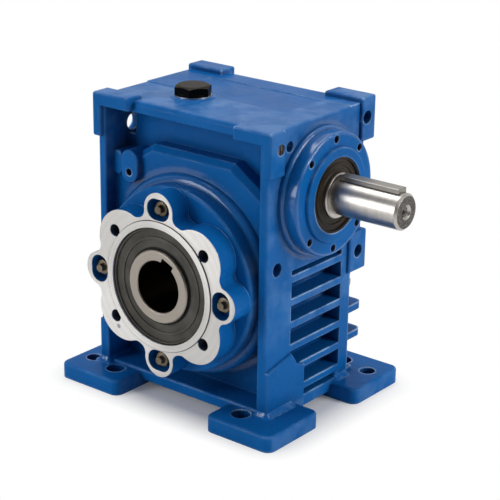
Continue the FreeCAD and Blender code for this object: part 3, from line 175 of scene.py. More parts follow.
def near(tree, value, middle, half):
    """1 where a value is close to a middle one, falling to 0 beyond it."""
    away = reckon(tree, "ABSOLUTE", reckon(tree, "SUBTRACT", value, middle))
    return scaled(tree, away, half, 1.4 * half, 1.0, 0.0)


def edges_and_corners(tree, edge, corner):
    """Masks for painted highlight on upward-looking outward edges and painted shade in corners out of the
    light.
    """
    out = shade(tree, "AmbientOcclusion", {"Distance": edge}, inside=True, only_local=True, samples=8)
    into = shade(tree, "AmbientOcclusion", {"Distance": corner}, only_local=True, samples=8)
    soft = shade(tree, "Bevel", {"Radius": edge}, samples=6).outputs["Normal"]
    level = parts(tree, soft)["Z"]
    lit_edges = scaled(tree, out.outputs["AO"], 0.9, 0.55)
    lit_edges = product(tree, lit_edges, scaled(tree, level, -0.3, 0.5, 0.05, 1.0))
    corner_shade = scaled(tree, into.outputs["AO"], 0.85, 0.3)
    corner_shade = product(tree, corner_shade, scaled(tree, level, 0.2, 0.8, 1.0, 0.2))
    return lit_edges, corner_shade


def paint(material, *names):
    """Gives CAD nodes their material."""
    for name in names:
        mesh = nodes[name].data
        mesh.materials.clear()
        mesh.materials.append(material)


# The enamel's colour: random deeper clouds, painted shade in the corners, painted highlight on the lit edges
# and the sand grain.
enamel, takes, gives = new_group(
    "enamel_over_casting",
    {"Grain": 1.0, "Thin": 0.0, "Painted Shade": 0.0},
    {"Color": "Color", "Roughness": "Float", "Height": "Float"},
)
place = where(enamel)
cloud = noise(enamel, place, scale=24, detail=3)
patch = noise(enamel, place, scale=34, detail=2)
sand = noise(enamel, place, scale=980, detail=3, roughness=0.6)
peel = noise(enamel, place, scale=160, detail=1)
lengths = noise(enamel, place, scale=62, detail=2)
# Random cloudy patches of a deeper blue.
even = blend(enamel, scaled(enamel, cloud, 0.3, 0.7, 0.25, 0.0), BLUE, BLUE_DEEP_AND_SHADE)
# Painted shade darkens the corners, less so on faces that look up.
even = blend(enamel, product(enamel, takes.outputs["Painted Shade"], 0.9), even, BLUE_DEEP_AND_SHADE)
sandy = scaled(enamel, patch, 0.5, 0.68, 0.1, 1.0)
speck = product(enamel, scaled(enamel, sand, 0.5, 0.75), sandy)
speck = product(enamel, speck, takes.outputs["Grain"])
# Painted highlight on the lit edges, broken into lengths, plus a little of the lighter sand grain.
highlight_and_grain = product(enamel, takes.outputs["Thin"], scaled(enamel, lengths, 0.38, 0.62, 0.12, 1.0))
highlight_and_grain = reckon(enamel, "MULTIPLY_ADD", speck, 0.04, highlight_and_grain)
wire(enamel, gives, {
    "Color": blend(enamel, highlight_and_grain, even, BLUE_PAINTED_HIGHLIGHT),
    "Roughness": scaled(enamel, patch, 0.3, 0.72, 0.2, 0.34),
    "Height": reckon(enamel, "MULTIPLY_ADD", peel, 1.2, speck),
})


def enamelled(name, grain, round_edge, painted_light=None):
    """The enamel of one piece, with its own grain and edge radius and, where asked, a paler tone of painted
    light.
    """
    material, tree, surface = new_material(name, specular=0.05)
    lit_edges, corner_shade = edges_and_corners(tree, 1.1 * round_edge, CORNER_REACH)
    gloss = lit_edges
    if callable(grain):
        grain = grain(tree)
        wet = scaled(tree, grain, PLAIN_GRAIN, COARSE_GRAIN, 0.0, WET_GLOSS)
        gloss = larger(tree, lit_edges, wet)
    if painted_light:
        # The paler tone is painted light, laid on with the painted edge highlight.
        lit_edges = larger(tree, lit_edges, painted_light(tree))
    coat = shade(tree, "Group", {"Grain": grain, "Thin": lit_edges, "Painted Shade": corner_shade}, node_tree=enamel)
    surface.inputs["Coat Roughness"].default_value = 0.12
    wire(tree, surface, {
        "Base Color": coat.outputs["Color"],
        "Roughness": coat.outputs["Roughness"],
        "Coat Weight": gloss,
        "Normal": relief(tree, coat.outputs["Height"], strength=0.4, depth=0.0004, round_edge=round_edge),
    })
    return material


def rough_rims(tree):
    """The sand grain, which is coarsest round the drum and round the rim of the input boss."""
    across, along = about(tree, INPUT_LINE)
    boss = near(tree, across, BOSS_RIM_RADIUS, half=0.003)
    boss = product(tree, boss, near(tree, along, BOSS_RIM_PLACE, half=0.008))
    drum = near(tree, about(tree, OUTPUT_LINE)[0], DRUM_RIM_RADIUS, half=0.004)
    drum = product(tree, drum, near(tree, parts(tree, where(tree))["X"], 0.0, half=DRUM_HALF_WIDTH))
    return scaled(tree, larger(tree, boss, drum), 0, 1, PLAIN_GRAIN, COARSE_GRAIN)


def lit_right_end_and_top_margins(tree):
    """Painted light: a paler tone on the right end, where the side light falls, and along the front and right
    margins of the top.
    """
    place = parts(tree, where(tree))
    way = facing(tree)
    inside_front = scaled(tree, place["Y"], TOP_MARGIN_FRONT - 0.0015, TOP_MARGIN_FRONT + 0.0015)
    inside_right = scaled(tree, place["X"], TOP_MARGIN_RIGHT + 0.002, TOP_MARGIN_RIGHT - 0.002)
    margin = scaled(tree, product(tree, inside_front, inside_right), 0, 1, 0.13, 0.0)
    top = product(tree, scaled(tree, way["Z"], 0.8, 0.95), scaled(tree, place["Z"], 0.200, 0.2025))
    plate = product(tree, scaled(tree, place["Z"], 0.05, 0.07), scaled(tree, place["X"], 0.080, 0.078))
    foot = scaled(tree, place["Z"], FOOT_TOP + 0.003, FOOT_TOP + 0.001)
    right = scaled(tree, way["X"], 0.8, 0.95, 0.0, 0.08)
    return larger(tree, product(tree, top, margin), product(tree, larger(tree, foot, plate), right))


housing_enamel = enamelled("blue_enamel", grain=rough_rims, round_edge=0.0016, painted_light=lit_right_end_and_top_margins)
paint(housing_enamel, "housing")


# Column fillets: the swept-out feet of the four cast columns, where the sand mould was rounded by hand,
# so that each column runs into its foot in a lumpy hollow curve. They are part of the housing casting.
FILLET_REACH = 0.0045
FILLET_HEIGHT = 0.0085
FILLET_STEPS = 6
FRONT_COLUMN = (-0.0524, -0.0260)
REAR_COLUMN = (0.0260, 0.0384)
COLUMNS = (
    ((0.0656, 0.0736), FRONT_COLUMN),
    ((-0.0736, -0.0666), FRONT_COLUMN),
    ((0.0656, 0.0714), REAR_COLUMN),
    ((-0.0714, -0.0666), REAR_COLUMN),
)


def pick(*pieces):
    """Selects these pieces and nothing else, with the first one active."""
    bpy.ops.object.select_all(action="DESELECT")
    for piece in pieces:
        piece.select_set(True)
    bpy.context.view_layer.objects.active = pieces[0]


def choose(piece, kind, test):
    """Selects only the faces or edges of a piece in edit mode that pass a test."""
    bpy.ops.mesh.select_mode(type={"faces": "FACE", "edges": "EDGE"}[kind])
    bpy.ops.mesh.select_all(action="DESELECT")
    shape = bmesh.from_edit_mesh(piece.data)
    for item in getattr(shape, kind):
        if test(item):
            item.select_set(True)
    shape.select_flush_mode()
    bmesh.update_edit_mesh(piece.data)


def place_in_mesh(piece):
    """Moves a piece's place into its mesh, so that its object sits at the origin."""
    pick(piece)
    bpy.ops.object.transform_apply(location=True, rotation=True, scale=True)


def join(name, pieces):
    """Joins pieces into one object with one mesh."""
    pick(*pieces)
    if len(pieces) > 1:
        bpy.ops.object.join()
    pieces[0].name = name
    pieces[0].data.name = name
    return pieces[0]


def dress(piece, material, body, angle=30):
    """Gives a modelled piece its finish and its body."""
    piece.data.materials.clear()
    piece.data.materials.append(material)
    pick(piece)
    bpy.ops.object.shade_smooth_by_angle(angle=math.radians(angle))
    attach(piece, body)


def cast_skirt(x, y):
    """A hollow-curved skirt round the foot of a column with the given sides, sunk a little into it."""
    low, high = FOOT_TOP - 0.0010, FOOT_TOP - 0.0002
    size = (x[1] - x[0] + 2 * FILLET_REACH, y[1] - y[0] + 2 * FILLET_REACH, high - low)
    middle = (sum(x) / 2, sum(y) / 2, (low + high) / 2)
    bpy.ops.object.select_all(action="DESELECT")
    bpy.ops.mesh.primitive_cube_add(size=1, location=middle, scale=size)
    skirt = bpy.context.object
    place_in_mesh(skirt)
    bpy.ops.object.mode_set(mode="EDIT")
    choose(skirt, "edges", lambda edge: abs(edge.verts[0].co.z - edge.verts[1].co.z) > (high - low) / 2)
    bpy.ops.mesh.bevel(offset=1.25 * FILLET_REACH, segments=6)
    choose(skirt, "faces", lambda face: face.normal.z > 0.9)
    for step in range(FILLET_STEPS):
        before, after = (math.radians(90 * (step + k) / FILLET_STEPS) for k in (0, 1))
        inward = FILLET_REACH * (math.sin(after) - math.sin(before))
        upward = FILLET_HEIGHT * (math.cos(before) - math.cos(after))
        bpy.ops.mesh.inset(thickness=inward, depth=upward)
    bpy.ops.mesh.select_all(action="SELECT")
    bpy.ops.mesh.subdivide(number_cuts=3)
    bpy.ops.object.mode_set(mode="OBJECT")
    return skirt


column_fillets = join("column_fillets", [cast_skirt(x, y) for x, y in COLUMNS])
lumps = bpy.data.textures.new("mould_lumps", "CLOUDS")
lumps.noise_scale = 0.006
uneven = column_fillets.modifiers.new("lumps", "DISPLACE")
uneven.texture = lumps
uneven.texture_coords = "LOCAL"
uneven.strength = 0.0005
uneven.mid_level = 0.5
bpy.ops.object.modifier_apply(modifier="lumps")


def paint_runs(tree):
    """Patches where the enamel ran together on the lumps and dried with a wet gloss."""
    runs = noise(tree, where(tree), scale=320, detail=2)
    return scaled(tree, runs, 0.42, 0.58, PLAIN_GRAIN, COARSE_GRAIN)


fillet_enamel = enamelled("blue_enamel_fillets", grain=paint_runs, round_edge=0.0003)
dress(column_fillets, fillet_enamel, "housing", angle=60)


# Tapped holes of the boss and the front lug: screw threads cut into the casting, which keep the enamel out.
# Each is the helical ridge of its thread, on the wall of the drilled hole.
BOSS_FACE = 0.085
BOSS_HOLE_CIRCLE = 0.0365
BOSS_HOLES = (45, 90, 135, 225, 270, 315)
LUG_HOLE = (-0.0495, -0.048, 0.1525)
SMALL_THREAD = {"radius": 0.0025, "pitch": 0.0010}
OUT_RIGHT = (0, math.radians(90), 0)
OUT_FRONT = (math.radians(90), 0, 0)


def thread(mouth, turn, radius, pitch, turns):
    """The helical ridge of a tapped hole. turn brings the Z axis to the way out of the hole."""
    bpy.ops.object.select_all(action="DESELECT")
    bpy.ops.mesh.primitive_circle_add(vertices=4, radius=0.42 * pitch, fill_type="NOTHING")
    ridge = bpy.context.object
    bpy.ops.object.mode_set(mode="EDIT")
    bpy.ops.mesh.select_all(action="SELECT")
    bpy.ops.transform.rotate(value=math.radians(90), orient_axis="X", center_override=(0, 0, 0))
    bpy.ops.transform.translate(value=(radius, 0, -0.6 * pitch))
    bpy.ops.object.mode_set(mode="OBJECT")
    coil = ridge.modifiers.new("coil", "SCREW")
    coil.axis = "Z"
    coil.screw_offset = -pitch
    coil.iterations = turns
    coil.steps = 20
    coil.render_steps = 20
    bpy.ops.object.modifier_apply(modifier="coil")
    bpy.ops.object.mode_set(mode="EDIT")
    bpy.ops.mesh.select_mode(type="VERT")
    bpy.ops.mesh.select_all(action="DESELECT")
    bpy.ops.mesh.select_non_manifold()
    bpy.ops.mesh.fill_holes(sides=4)
    bpy.ops.mesh.select_all(action="SELECT")
    bpy.ops.mesh.normals_make_consistent(inside=False)
    bpy.ops.object.mode_set(mode="OBJECT")
    ridge.rotation_euler = turn
    ridge.location = mouth
    place_in_mesh(ridge)
    return ridge


ridges = []
for angle in BOSS_HOLES:
    y = BOSS_HOLE_CIRCLE * math.cos(math.radians(angle))
    z = INPUT_HEIGHT + BOSS_HOLE_CIRCLE * math.sin(math.radians(angle))
    ridges.append(thread((BOSS_FACE, y, z), OUT_RIGHT, turns=9, **SMALL_THREAD))
ridges.append(thread(LUG_HOLE, OUT_FRONT, turns=6, **SMALL_THREAD))
casting_threads = join("casting_threads", ridges)


def grained(name, dark, light, grain, roughness, metallic=0.0, specular=0.5, round_edge=0.0):
    """A finish with a fine grain, cloudy in its colour and its gloss."""
    material, tree, surface = new_material(name, metallic=metallic, specular=specular)
    place = where(tree)
    fine = noise(tree, place, scale=grain, detail=3)
    broad = noise(tree, place, scale=grain / 11, detail=2)
    mixed = reckon(tree, "MULTIPLY_ADD", fine, 0.5, broad)
    wire(tree, surface, {
        "Base Color": blend(tree, scaled(tree, mixed, 0.5, 1.0), dark + (1,), light + (1,)),
        "Roughness": scaled(tree, broad, 0.3, 0.7, *roughness),
        "Normal": relief(tree, fine, strength=0.3, depth=0.0001, round_edge=round_edge),
    })
    return material


# The threads' near-black blue is painted shade inside the holes.
tapped_iron_in_shade = grained(
    "tapped_iron_in_shade", dark=(0.002, 0.006, 0.016), light=(0.010, 0.018, 0.036), grain=900,
    roughness=(0.4, 0.55), specular=0.15,
)
dress(casting_threads, tapped_iron_in_shade, "housing", angle=20)


# Worm shaft: alloy steel with the worm cut in one piece with it, hardened, then ground and polished on its
# seats and along the keyed end. A centre hole in the end is tapped for the screw that holds a coupling.
SHAFT_END_ZONE = (0.130, 0.131)
SHAFT_HOLE = (0.1380, 0, INPUT_HEIGHT)

lathe, takes, gives = new_group(
    "turning_marks",
    {"Radius": 0.0, "Length": 0.0, "Pitch": 1.0},
    {"Streak": "Float", "Cloud": "Float"},
)
step = reckon(lathe, "ADD", takes.outputs["Radius"], takes.outputs["Length"])
step = reckon(lathe, "DIVIDE", step, takes.outputs["Pitch"])
fine = shade(lathe, "TexNoise", {"W": step, "Scale": 2600, "Detail": 4}, noise_dimensions="1D").outputs["Fac"]
broad = shade(lathe, "TexNoise", {"W": step, "Scale": 260, "Detail": 2}, noise_dimensions="1D").outputs["Fac"]
streak = reckon(lathe, "MULTIPLY_ADD", fine, 0.6, broad)
cloud = noise(lathe, where(lathe), scale=48, detail=3)
wire(lathe, gives, {
    "Streak": scaled(lathe, streak, 0.5, 1.1),
    "Cloud": scaled(lathe, cloud, 0.3, 0.7),
})


def turned(name, line, dark, light, roughness):
    """A lathe-turned metal finish whose fine rings run round a shaft axis."""
    material, tree, surface = new_material(name, metallic=1.0)
    radius, along = about(tree, line)
    marks = shade(tree, "Group", {"Radius": radius, "Length": along}, node_tree=lathe)
    wire(tree, surface, {
        "Base Color": blend(tree, marks.outputs["Streak"], dark + (1,), light + (1,)),
        "Roughness": scaled(tree, marks.outputs["Cloud"], 0, 1, *roughness),
        "Normal": relief(tree, marks.outputs["Streak"], strength=0.25, depth=0.00006, round_edge=0.0004),
    })
    return material


def opened(material):
    """The node tree of a finish, its shader and its colour, to be worked on further."""
    tree = material.node_tree
    surface = tree.nodes["Principled BSDF"]
    return tree, surface, surface.inputs["Base Color"].links[0].from_socket


def passing(tree, share, first, second):
    """One value passing into another."""
    return shade(tree, "Mix", {0: share, 2: first, 3: second}).outputs[0]


ground_steel = turned(
    "ground_steel", INPUT_LINE, dark=(0.50, 0.47, 0.435), light=(0.56, 0.53, 0.495), roughness=(0.28, 0.38)
)
tree, surface, bright = opened(ground_steel)
polished = surface.inputs["Roughness"].links[0].from_socket
# The flat end face takes a darker, speckled colour and a rougher finish.
pits = noise(tree, where(tree), scale=1100, detail=2)
darker_end_colour = blend(tree, scaled(tree, pits, 0.4, 0.65), (0.07, 0.065, 0.059, 1), (0.20, 0.19, 0.175, 1))
end = scaled(tree, facing(tree)["X"], 0.85, 0.95)
end = product(tree, end, scaled(tree, parts(tree, where(tree))["X"], *SHAFT_END_ZONE))
wire(tree, surface, {
    "Base Color": blend(tree, end, bright, darker_end_colour),
    "Roughness": passing(tree, end, polished, 0.5),
})
paint(ground_steel, "worm_shaft")
shaft_thread = thread(SHAFT_HOLE, OUT_RIGHT, radius=0.0034, pitch=0.00125, turns=13)
shaft_thread.name = "shaft_end_thread"
tapped_steel = grained(
    "tapped_steel", dark=(0.16, 0.15, 0.14), light=(0.34, 0.32, 0.30), grain=900,
    roughness=(0.3, 0.45), metallic=1.0,
)
dress(shaft_thread, tapped_steel, "worm", angle=20)


# Worm bearings: two single-row taper roller bearings, pressed on the worm shaft and into the bores of the
# housing. Rings and rollers are ground bearing steel, and the cages are pressed from sheet.
RACE_STEEL = {"dark": (0.50, 0.50, 0.50), "light": (0.64, 0.64, 0.64), "roughness": (0.12, 0.22)}

input_races = turned("input_bearing_steel", INPUT_LINE, **RACE_STEEL)
paint(input_races, "input_bearing_cup", "input_bearing_cone", "tail_bearing_cup", "tail_bearing_cone")
roller_steel = grained(
    "roller_steel", dark=(0.52, 0.52, 0.52), light=(0.66, 0.66, 0.66), grain=500,
    roughness=(0.10, 0.2), metallic=1.0,
)
paint(roller_steel, "input_bearing_rollers", "tail_bearing_rollers")
cage_steel = grained(
    "cage_steel", dark=(0.15, 0.15, 0.145), light=(0.28, 0.28, 0.27), grain=420,
    roughness=(0.35, 0.5), metallic=1.0,
)
paint(cage_steel, "input_bearing_cage", "tail_bearing_cage")


# Circlips: snap rings stamped from spring steel and phosphated dark.
# One springs into its groove at each end of the worm and keeps the bearing there in its bore.
spring_steel = grained(
    "spring_steel", dark=(0.018, 0.018, 0.02), light=(0.045, 0.045, 0.048), grain=700,
    roughness=(0.4, 0.55), metallic=0.9,
)
paint(spring_steel, "input_circlip", "tail_circlip")


# Tail end cap: a shallow cap pressed from sheet steel, which closes the blind end of the worm bore.
# It is knocked into the bore and painted with the housing.
cap_enamel = enamelled("blue_enamel_cap", grain=0.25, round_edge=0.001)
paint(cap_enamel, "tail_end_cap")


# Input seal and its carrier: a turned ring, painted with the housing, that holds a moulded brown-black rubber
# seal with low ridges round its face. The ring is pressed into the mouth of the input bore.
carrier_enamel = enamelled("blue_enamel_carrier", grain=0.2, round_edge=0.0014)
paint(carrier_enamel, "input_seal_carrier")


def moulded_rubber(name, line, dark, light, ring, wavy, roughness, grooves=()):
    """Moulded rubber with fine rings from the mould, a dusty bloom and black grooves at some radii."""
    material, tree, surface = new_material(name, specular=0.15)
    radius = about(tree, line)[0]
    place = where(tree)
    grain = noise(tree, place, scale=900, detail=2)
    bloom = noise(tree, place, scale=70, detail=3)
    wave = reckon(tree, "SINE", product(tree, radius, 2 * math.pi / ring))
    height = reckon(tree, "MULTIPLY_ADD", wave, wavy, grain)
    tone = reckon(tree, "MULTIPLY_ADD", wave, 0.17 * wavy, bloom)
    colour = blend(tree, scaled(tree, tone, 0.3, 0.75), dark + (1,), light + (1,))
    for middle, half in grooves:
        colour = blend(tree, near(tree, radius, middle, half), colour, (0.002, 0.002, 0.002, 1))
    wire(tree, surface, {
        "Base Color": colour,
        "Roughness": scaled(tree, bloom, 0.3, 0.7, *roughness),
        "Normal": relief(tree, height, strength=0.35, depth=0.00012, round_edge=0.0004),
    })
    return material


brown_rubber = moulded_rubber(
    "brown_seal_rubber", INPUT_LINE, dark=(0.010, 0.007, 0.005), light=(0.040, 0.028, 0.018),
    ring=0.0022, wavy=0.7, roughness=(0.34, 0.46),
)
paint(brown_rubber, "input_seal")


# Input key: a square-ended bar of drawn bright steel, driven into the seat milled along the shaft end.
# Painted shade darkens a line where it enters the seat.
PAINTED_SHADE_LINE = (0.1656, 0.1662)

key_steel, tree, surface = new_material("key_steel", metallic=1.0)
place = where(tree)
drawn = shade(tree, "Mapping", {"Vector": place, "Scale": (14, 2200, 2200)}).outputs["Vector"]
lines = noise(tree, drawn, scale=1, detail=3)
drawn_steel = blend(tree, scaled(tree, lines, 0.35, 0.65), (0.24, 0.225, 0.205, 1), (0.37, 0.35, 0.32, 1))
# Painted shade: dark below this height, where the key meets the shaft.
above_painted_shade = scaled(tree, parts(tree, place)["Z"], *PAINTED_SHADE_LINE)
wire(tree, surface, {
    "Base Color": blend(tree, above_painted_shade, (0.025, 0.021, 0.017, 1), drawn_steel),
    "Roughness": scaled(tree, lines, 0.3, 0.7, 0.28, 0.42),
    "Normal": relief(tree, lines, strength=0.2, depth=0.00005, round_edge=0.0006),
})
paint(key_steel, "input_key")


# Hollow output shaft: a turned iron sleeve with the wheel hub in one piece. Its ends are bright from the
# tool, while the keyed bore is painted dark, as painted shade inside it.
BORE_WALL = (0.01755, 0.0178)

sleeve_iron, tree, surface = new_material("turned_iron", metallic=1.0)
radius, along = about(tree, OUTPUT_LINE)
marks = shade(tree, "Group", {"Radius": radius, "Length": along}, node_tree=lathe)
bright = blend(tree, marks.outputs["Streak"], (0.27, 0.24, 0.205, 1), (0.43, 0.39, 0.345, 1))
# Painted shade: the bore wall is painted near black.
outside = scaled(tree, radius, *BORE_WALL)
wire(tree, surface, {
    "Base Color": blend(tree, outside, (0.055, 0.042, 0.028, 1), bright),
    "Roughness": scaled(tree, marks.outputs["Cloud"], 0, 1, 0.26, 0.4),
    "Normal": relief(tree, marks.outputs["Streak"], strength=0.3, depth=0.00008, round_edge=0.0005),
})
paint(sleeve_iron, "hollow_output_shaft")


# Worm wheel rim: a bronze ring pressed on the hub and hobbed to mesh with the worm. Four black set screws,
# half in the rim and half in the hub, lock it. Two steel spacers hold the hub between the output bearings.
bronze = turned(
    "hobbed_bronze", OUTPUT_LINE, dark=(0.42, 0.22, 0.075), light=(0.60, 0.36, 0.15), roughness=(0.25, 0.4)
)
paint(bronze, "worm_wheel_rim")
black_oxide = grained(
    "black_oxide", dark=(0.012, 0.012, 0.013), light=(0.035, 0.035, 0.037), grain=800,
    roughness=(0.3, 0.45), metallic=0.7,
)
paint(black_oxide, "rim_lock_screws")
spacer_steel = turned(
    "spacer_steel", OUTPUT_LINE, dark=(0.40, 0.39, 0.37), light=(0.55, 0.54, 0.52), roughness=(0.25, 0.38)
)
paint(spacer_steel, "front_spacer", "rear_spacer")


# Output bearings: two larger taper roller bearings on the hollow shaft, one in each cover.
# They are made as those of the worm are, with ground rings and rollers and pressed cages.
output_races = turned("output_bearing_steel", OUTPUT_LINE, **RACE_STEEL)
paint(output_races, "front_bearing_cup", "front_bearing_cone", "rear_bearing_cup", "rear_bearing_cone")
paint(roller_steel, "front_bearing_rollers", "rear_bearing_rollers")
paint(cage_steel, "front_bearing_cage", "rear_bearing_cage")


# Rear cover: a round iron casting that closes the wheel opening from behind, bolted over a fibre gasket whose
# rim was sprayed with it. Its eight socket screws are yellow-zinc plated, with knurled heads.
REAR_SCREW_CIRCLE = 0.05775
REAR_SCREW_SEAT = 0.056
REAR_SCREWS = [22.5 + 45 * index for index in range(8)]
OUT_REAR = (math.radians(-90), 0, 0)
HEAD_SIDES = 40
KNURL_WIDTH = 0.00012
KNURL_DEPTH = 0.00014

rear_enamel = enamelled("blue_enamel_rear", grain=PLAIN_GRAIN, round_edge=0.0012)
paint(rear_enamel, "rear_cover")
gasket_fibre = grained(
    "gasket_fibre", dark=(0.17, 0.125, 0.07), light=(0.31, 0.245, 0.155), grain=1100,
    roughness=(0.75, 0.9), specular=0.2,
)
tree, surface, fibre = opened(gasket_fibre)
flat = shade(tree, "NewGeometry").outputs["True Normal"]
faces = reckon(tree, "ABSOLUTE", parts(tree, flat)["Y"])
wire(tree, surface, {"Base Color": blend(tree, scaled(tree, faces, 0.7, 0.9), BLUE, fibre)})
paint(gasket_fibre, "rear_cover_gasket", "output_cover_gasket")


def cap_screw(head, tall, shank, long, socket):
    """A socket-head screw that stands on the origin, with a knurled and bevelled head."""
    bpy.ops.object.select_all(action="DESELECT")
    bpy.ops.mesh.primitive_cylinder_add(
        vertices=HEAD_SIDES, radius=head, depth=tall, location=(0, 0, tall / 2)
    )
    screw = bpy.context.object
    place_in_mesh(screw)
    bpy.ops.object.mode_set(mode="EDIT")

    def every_other(face):
        middle = face.calc_center_median()
        sector = int(math.degrees(math.atan2(middle.y, middle.x)) % 360 // (360 / HEAD_SIDES))
        return abs(face.normal.z) < 0.5 and sector % 2 == 0

    choose(screw, "faces", every_other)
    bpy.ops.mesh.inset(thickness=KNURL_WIDTH, depth=-KNURL_DEPTH, use_individual=True)
    choose(screw, "edges", lambda edge: all(abs(vert.co.z - tall) < 1e-6 for vert in edge.verts))
    bpy.ops.mesh.bevel(offset=0.08 * head, segments=2)
    choose(screw, "faces", lambda face: face.normal.z < -0.9 and face.calc_area() > head * head)
    bpy.ops.mesh.inset(thickness=head - shank)
    bpy.ops.mesh.extrude_region_move(TRANSFORM_OT_translate={"value": (0, 0, -long)})
    bpy.ops.object.mode_set(mode="OBJECT")
    corner = socket / 2 / math.cos(math.radians(30))
    bpy.ops.mesh.primitive_cylinder_add(
        vertices=6, radius=corner, depth=1.2 * tall, location=(0, 0, 1.05 * tall)
    )
    hexagon = bpy.context.object
    bpy.context.view_layer.objects.active = screw
    hollow = screw.modifiers.new("socket", "BOOLEAN")
    hollow.object = hexagon
    hollow.solver = "EXACT"
    bpy.ops.object.modifier_apply(modifier="socket")
    bpy.data.objects.remove(hexagon)
    return screw


def set_screws(name, screw, places, turn):
    """Copies a screw to each place, its head turned outwards, and joins the copies."""
    copies = []
    for place in places:
        pick(screw)
        bpy.ops.object.duplicate(linked=False)
        copy = bpy.context.object
        copy.rotation_euler = turn
        copy.location = place
        place_in_mesh(copy)
        copies.append(copy)
    bpy.data.objects.remove(screw)
    return join(name, copies)


def round_output(radius, y, angles):
    """Places on a circle round the output axis, at angles in degrees from the top."""
    turns = [math.radians(angle) for angle in angles]
    return [(radius * math.sin(turn), y, OUTPUT_HEIGHT + radius * math.cos(turn)) for turn in turns]


rear_screw = cap_screw(head=0.00425, tall=0.005, shank=0.0025, long=0.0205, socket=0.004)
rear_places = round_output(REAR_SCREW_CIRCLE, REAR_SCREW_SEAT, REAR_SCREWS)
rear_screws = set_screws("rear_cap_screws", rear_screw, rear_places, OUT_REAR)
yellow_zinc = grained(
    "yellow_zinc", dark=(0.20, 0.145, 0.065), light=(0.46, 0.37, 0.20), grain=420,
    roughness=(0.25, 0.42), metallic=1.0,
)
dress(rear_screws, yellow_zinc, "housing")
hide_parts("rear_cover_screws")


# Output cover: a lobed iron casting bolted over the wheel opening on a fibre gasket. Its outer face is turned
# bare and flat for a flange and has a groove and a struck mark, with a fan of painted reflection, darker at
# some angles, across it. Its sides and the oval screw recesses keep the enamel, with its painted edge
# highlight and corner shade.
COVER_FACE = -0.0745
REGISTER_RADIUS = 0.0446
STRUCK_MARK = (-0.0358, COVER_FACE, 0.0537)
STRUCK_RADIUS = 0.0013

cover_finish, tree, surface = new_material("enamel_with_turned_face", specular=0.06)
radius, along = about(tree, OUTPUT_LINE)
bare = reckon(tree, "LESS_THAN", along, COVER_FACE + 0.0004)
# Painted highlight on the enamelled edges and painted shade in the corners, as on the housing.
lit_edges, corner_shade = edges_and_corners(tree, edge=0.001, corner=0.009)
coat = shade(tree, "Group", {"Grain": 0.7, "Thin": lit_edges, "Painted Shade": corner_shade}, node_tree=enamel)
marks = shade(tree, "Group", {"Radius": radius, "Pitch": 1.3}, node_tree=lathe)
skimmed = blend(tree, marks.outputs["Streak"], (0.70, 0.68, 0.655, 1), (0.88, 0.86, 0.835, 1))
place = where(tree)
sides = parts(tree, place)
# A fan of painted reflection: the turned face is painted a darker grey at the angles where the fan turns
# away.
rise = reckon(tree, "SUBTRACT", sides["Z"], OUTPUT_HEIGHT)
painted_reflection_fan = reckon(tree, "DIVIDE", product(tree, sides["X"], rise), product(tree, radius, radius))
skimmed = blend(tree, scaled(tree, painted_reflection_fan, -0.2, 0.35, 0.42, 0.0), skimmed, (0.36, 0.35, 0.34, 1))
groove = near(tree, radius, REGISTER_RADIUS, half=0.0002)
skimmed = blend(tree, groove, skimmed, (0.10, 0.095, 0.09, 1))
from_mark = shade(tree, "VectorMath", {0: place, 1: STRUCK_MARK}, operation="DISTANCE").outputs["Value"]
struck = product(tree, near(tree, from_mark, 0.0, half=STRUCK_RADIUS), 0.7)
skimmed = blend(tree, struck, skimmed, (0.20, 0.20, 0.21, 1))
ground_gloss = scaled(tree, marks.outputs["Cloud"], 0, 1, 0.3, 0.44)
height = passing(tree, bare, coat.outputs["Height"], marks.outputs["Streak"])
wire(tree, surface, {
    "Base Color": blend(tree, bare, coat.outputs["Color"], skimmed),
    "Metallic": product(tree, bare, 0.6),
    "Roughness": passing(tree, bare, coat.outputs["Roughness"], ground_gloss),
    "Normal": relief(tree, height, strength=0.3, depth=0.0002, round_edge=0.0007),
})
paint(cover_finish, "output_cover")


# Output cover screws: four yellow-zinc socket screws, sunk deep in the oval recesses of the long lobes.
# They hold the cover to the housing, and their plating has gone dull.
COVER_SCREW_CIRCLE = 0.0525
COVER_SCREW_SEAT = -0.0665
COVER_SCREWS = (0, 90, 180, 270)

cover_screw = cap_screw(head=0.005, tall=0.005, shank=0.003, long=0.020, socket=0.005)
cover_places = round_output(COVER_SCREW_CIRCLE, COVER_SCREW_SEAT, COVER_SCREWS)
cover_screws = set_screws("cover_cap_screws", cover_screw, cover_places, OUT_FRONT)
dull_zinc = grained(
    "dull_zinc", dark=(0.08, 0.065, 0.045), light=(0.26, 0.22, 0.16), grain=420,
    roughness=(0.35, 0.5), metallic=1.0,
)
dress(cover_screws, dull_zinc, "housing")
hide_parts("output_cover_screws")


# Flange holes: four holes in the short lobes of the output cover, tapped through its bare face.
# They take the screws of a torque arm or an output flange.
FLANGE_HOLE_CIRCLE = 0.0485
FLANGE_HOLES = (51.5, -51.5, -128.5, 128.5)

mouths = round_output(FLANGE_HOLE_CIRCLE, COVER_FACE, FLANGE_HOLES)
ridges = [thread(mouth, OUT_FRONT, radius=0.00425, pitch=0.0015, turns=8) for mouth in mouths]
flange_threads = join("flange_threads", ridges)
# These threads too are near-black blue, painted shade inside the holes.
tapped_cover_in_shade = grained(
    "tapped_cover_in_shade", dark=(0.002, 0.005, 0.013), light=(0.012, 0.018, 0.03), grain=900,
    roughness=(0.4, 0.55), specular=0.15,
)
dress(flange_threads, tapped_cover_in_shade, "housing", angle=20)


# Output seals: moulded nitrile rings with a satin face, pressed into the two covers round the hollow shaft.
# Dark grooves part the face from the lip and from the rim.
LIP_GROOVE = (0.0255, 0.0008)
RIM_GROOVE = (0.0399, 0.0005)

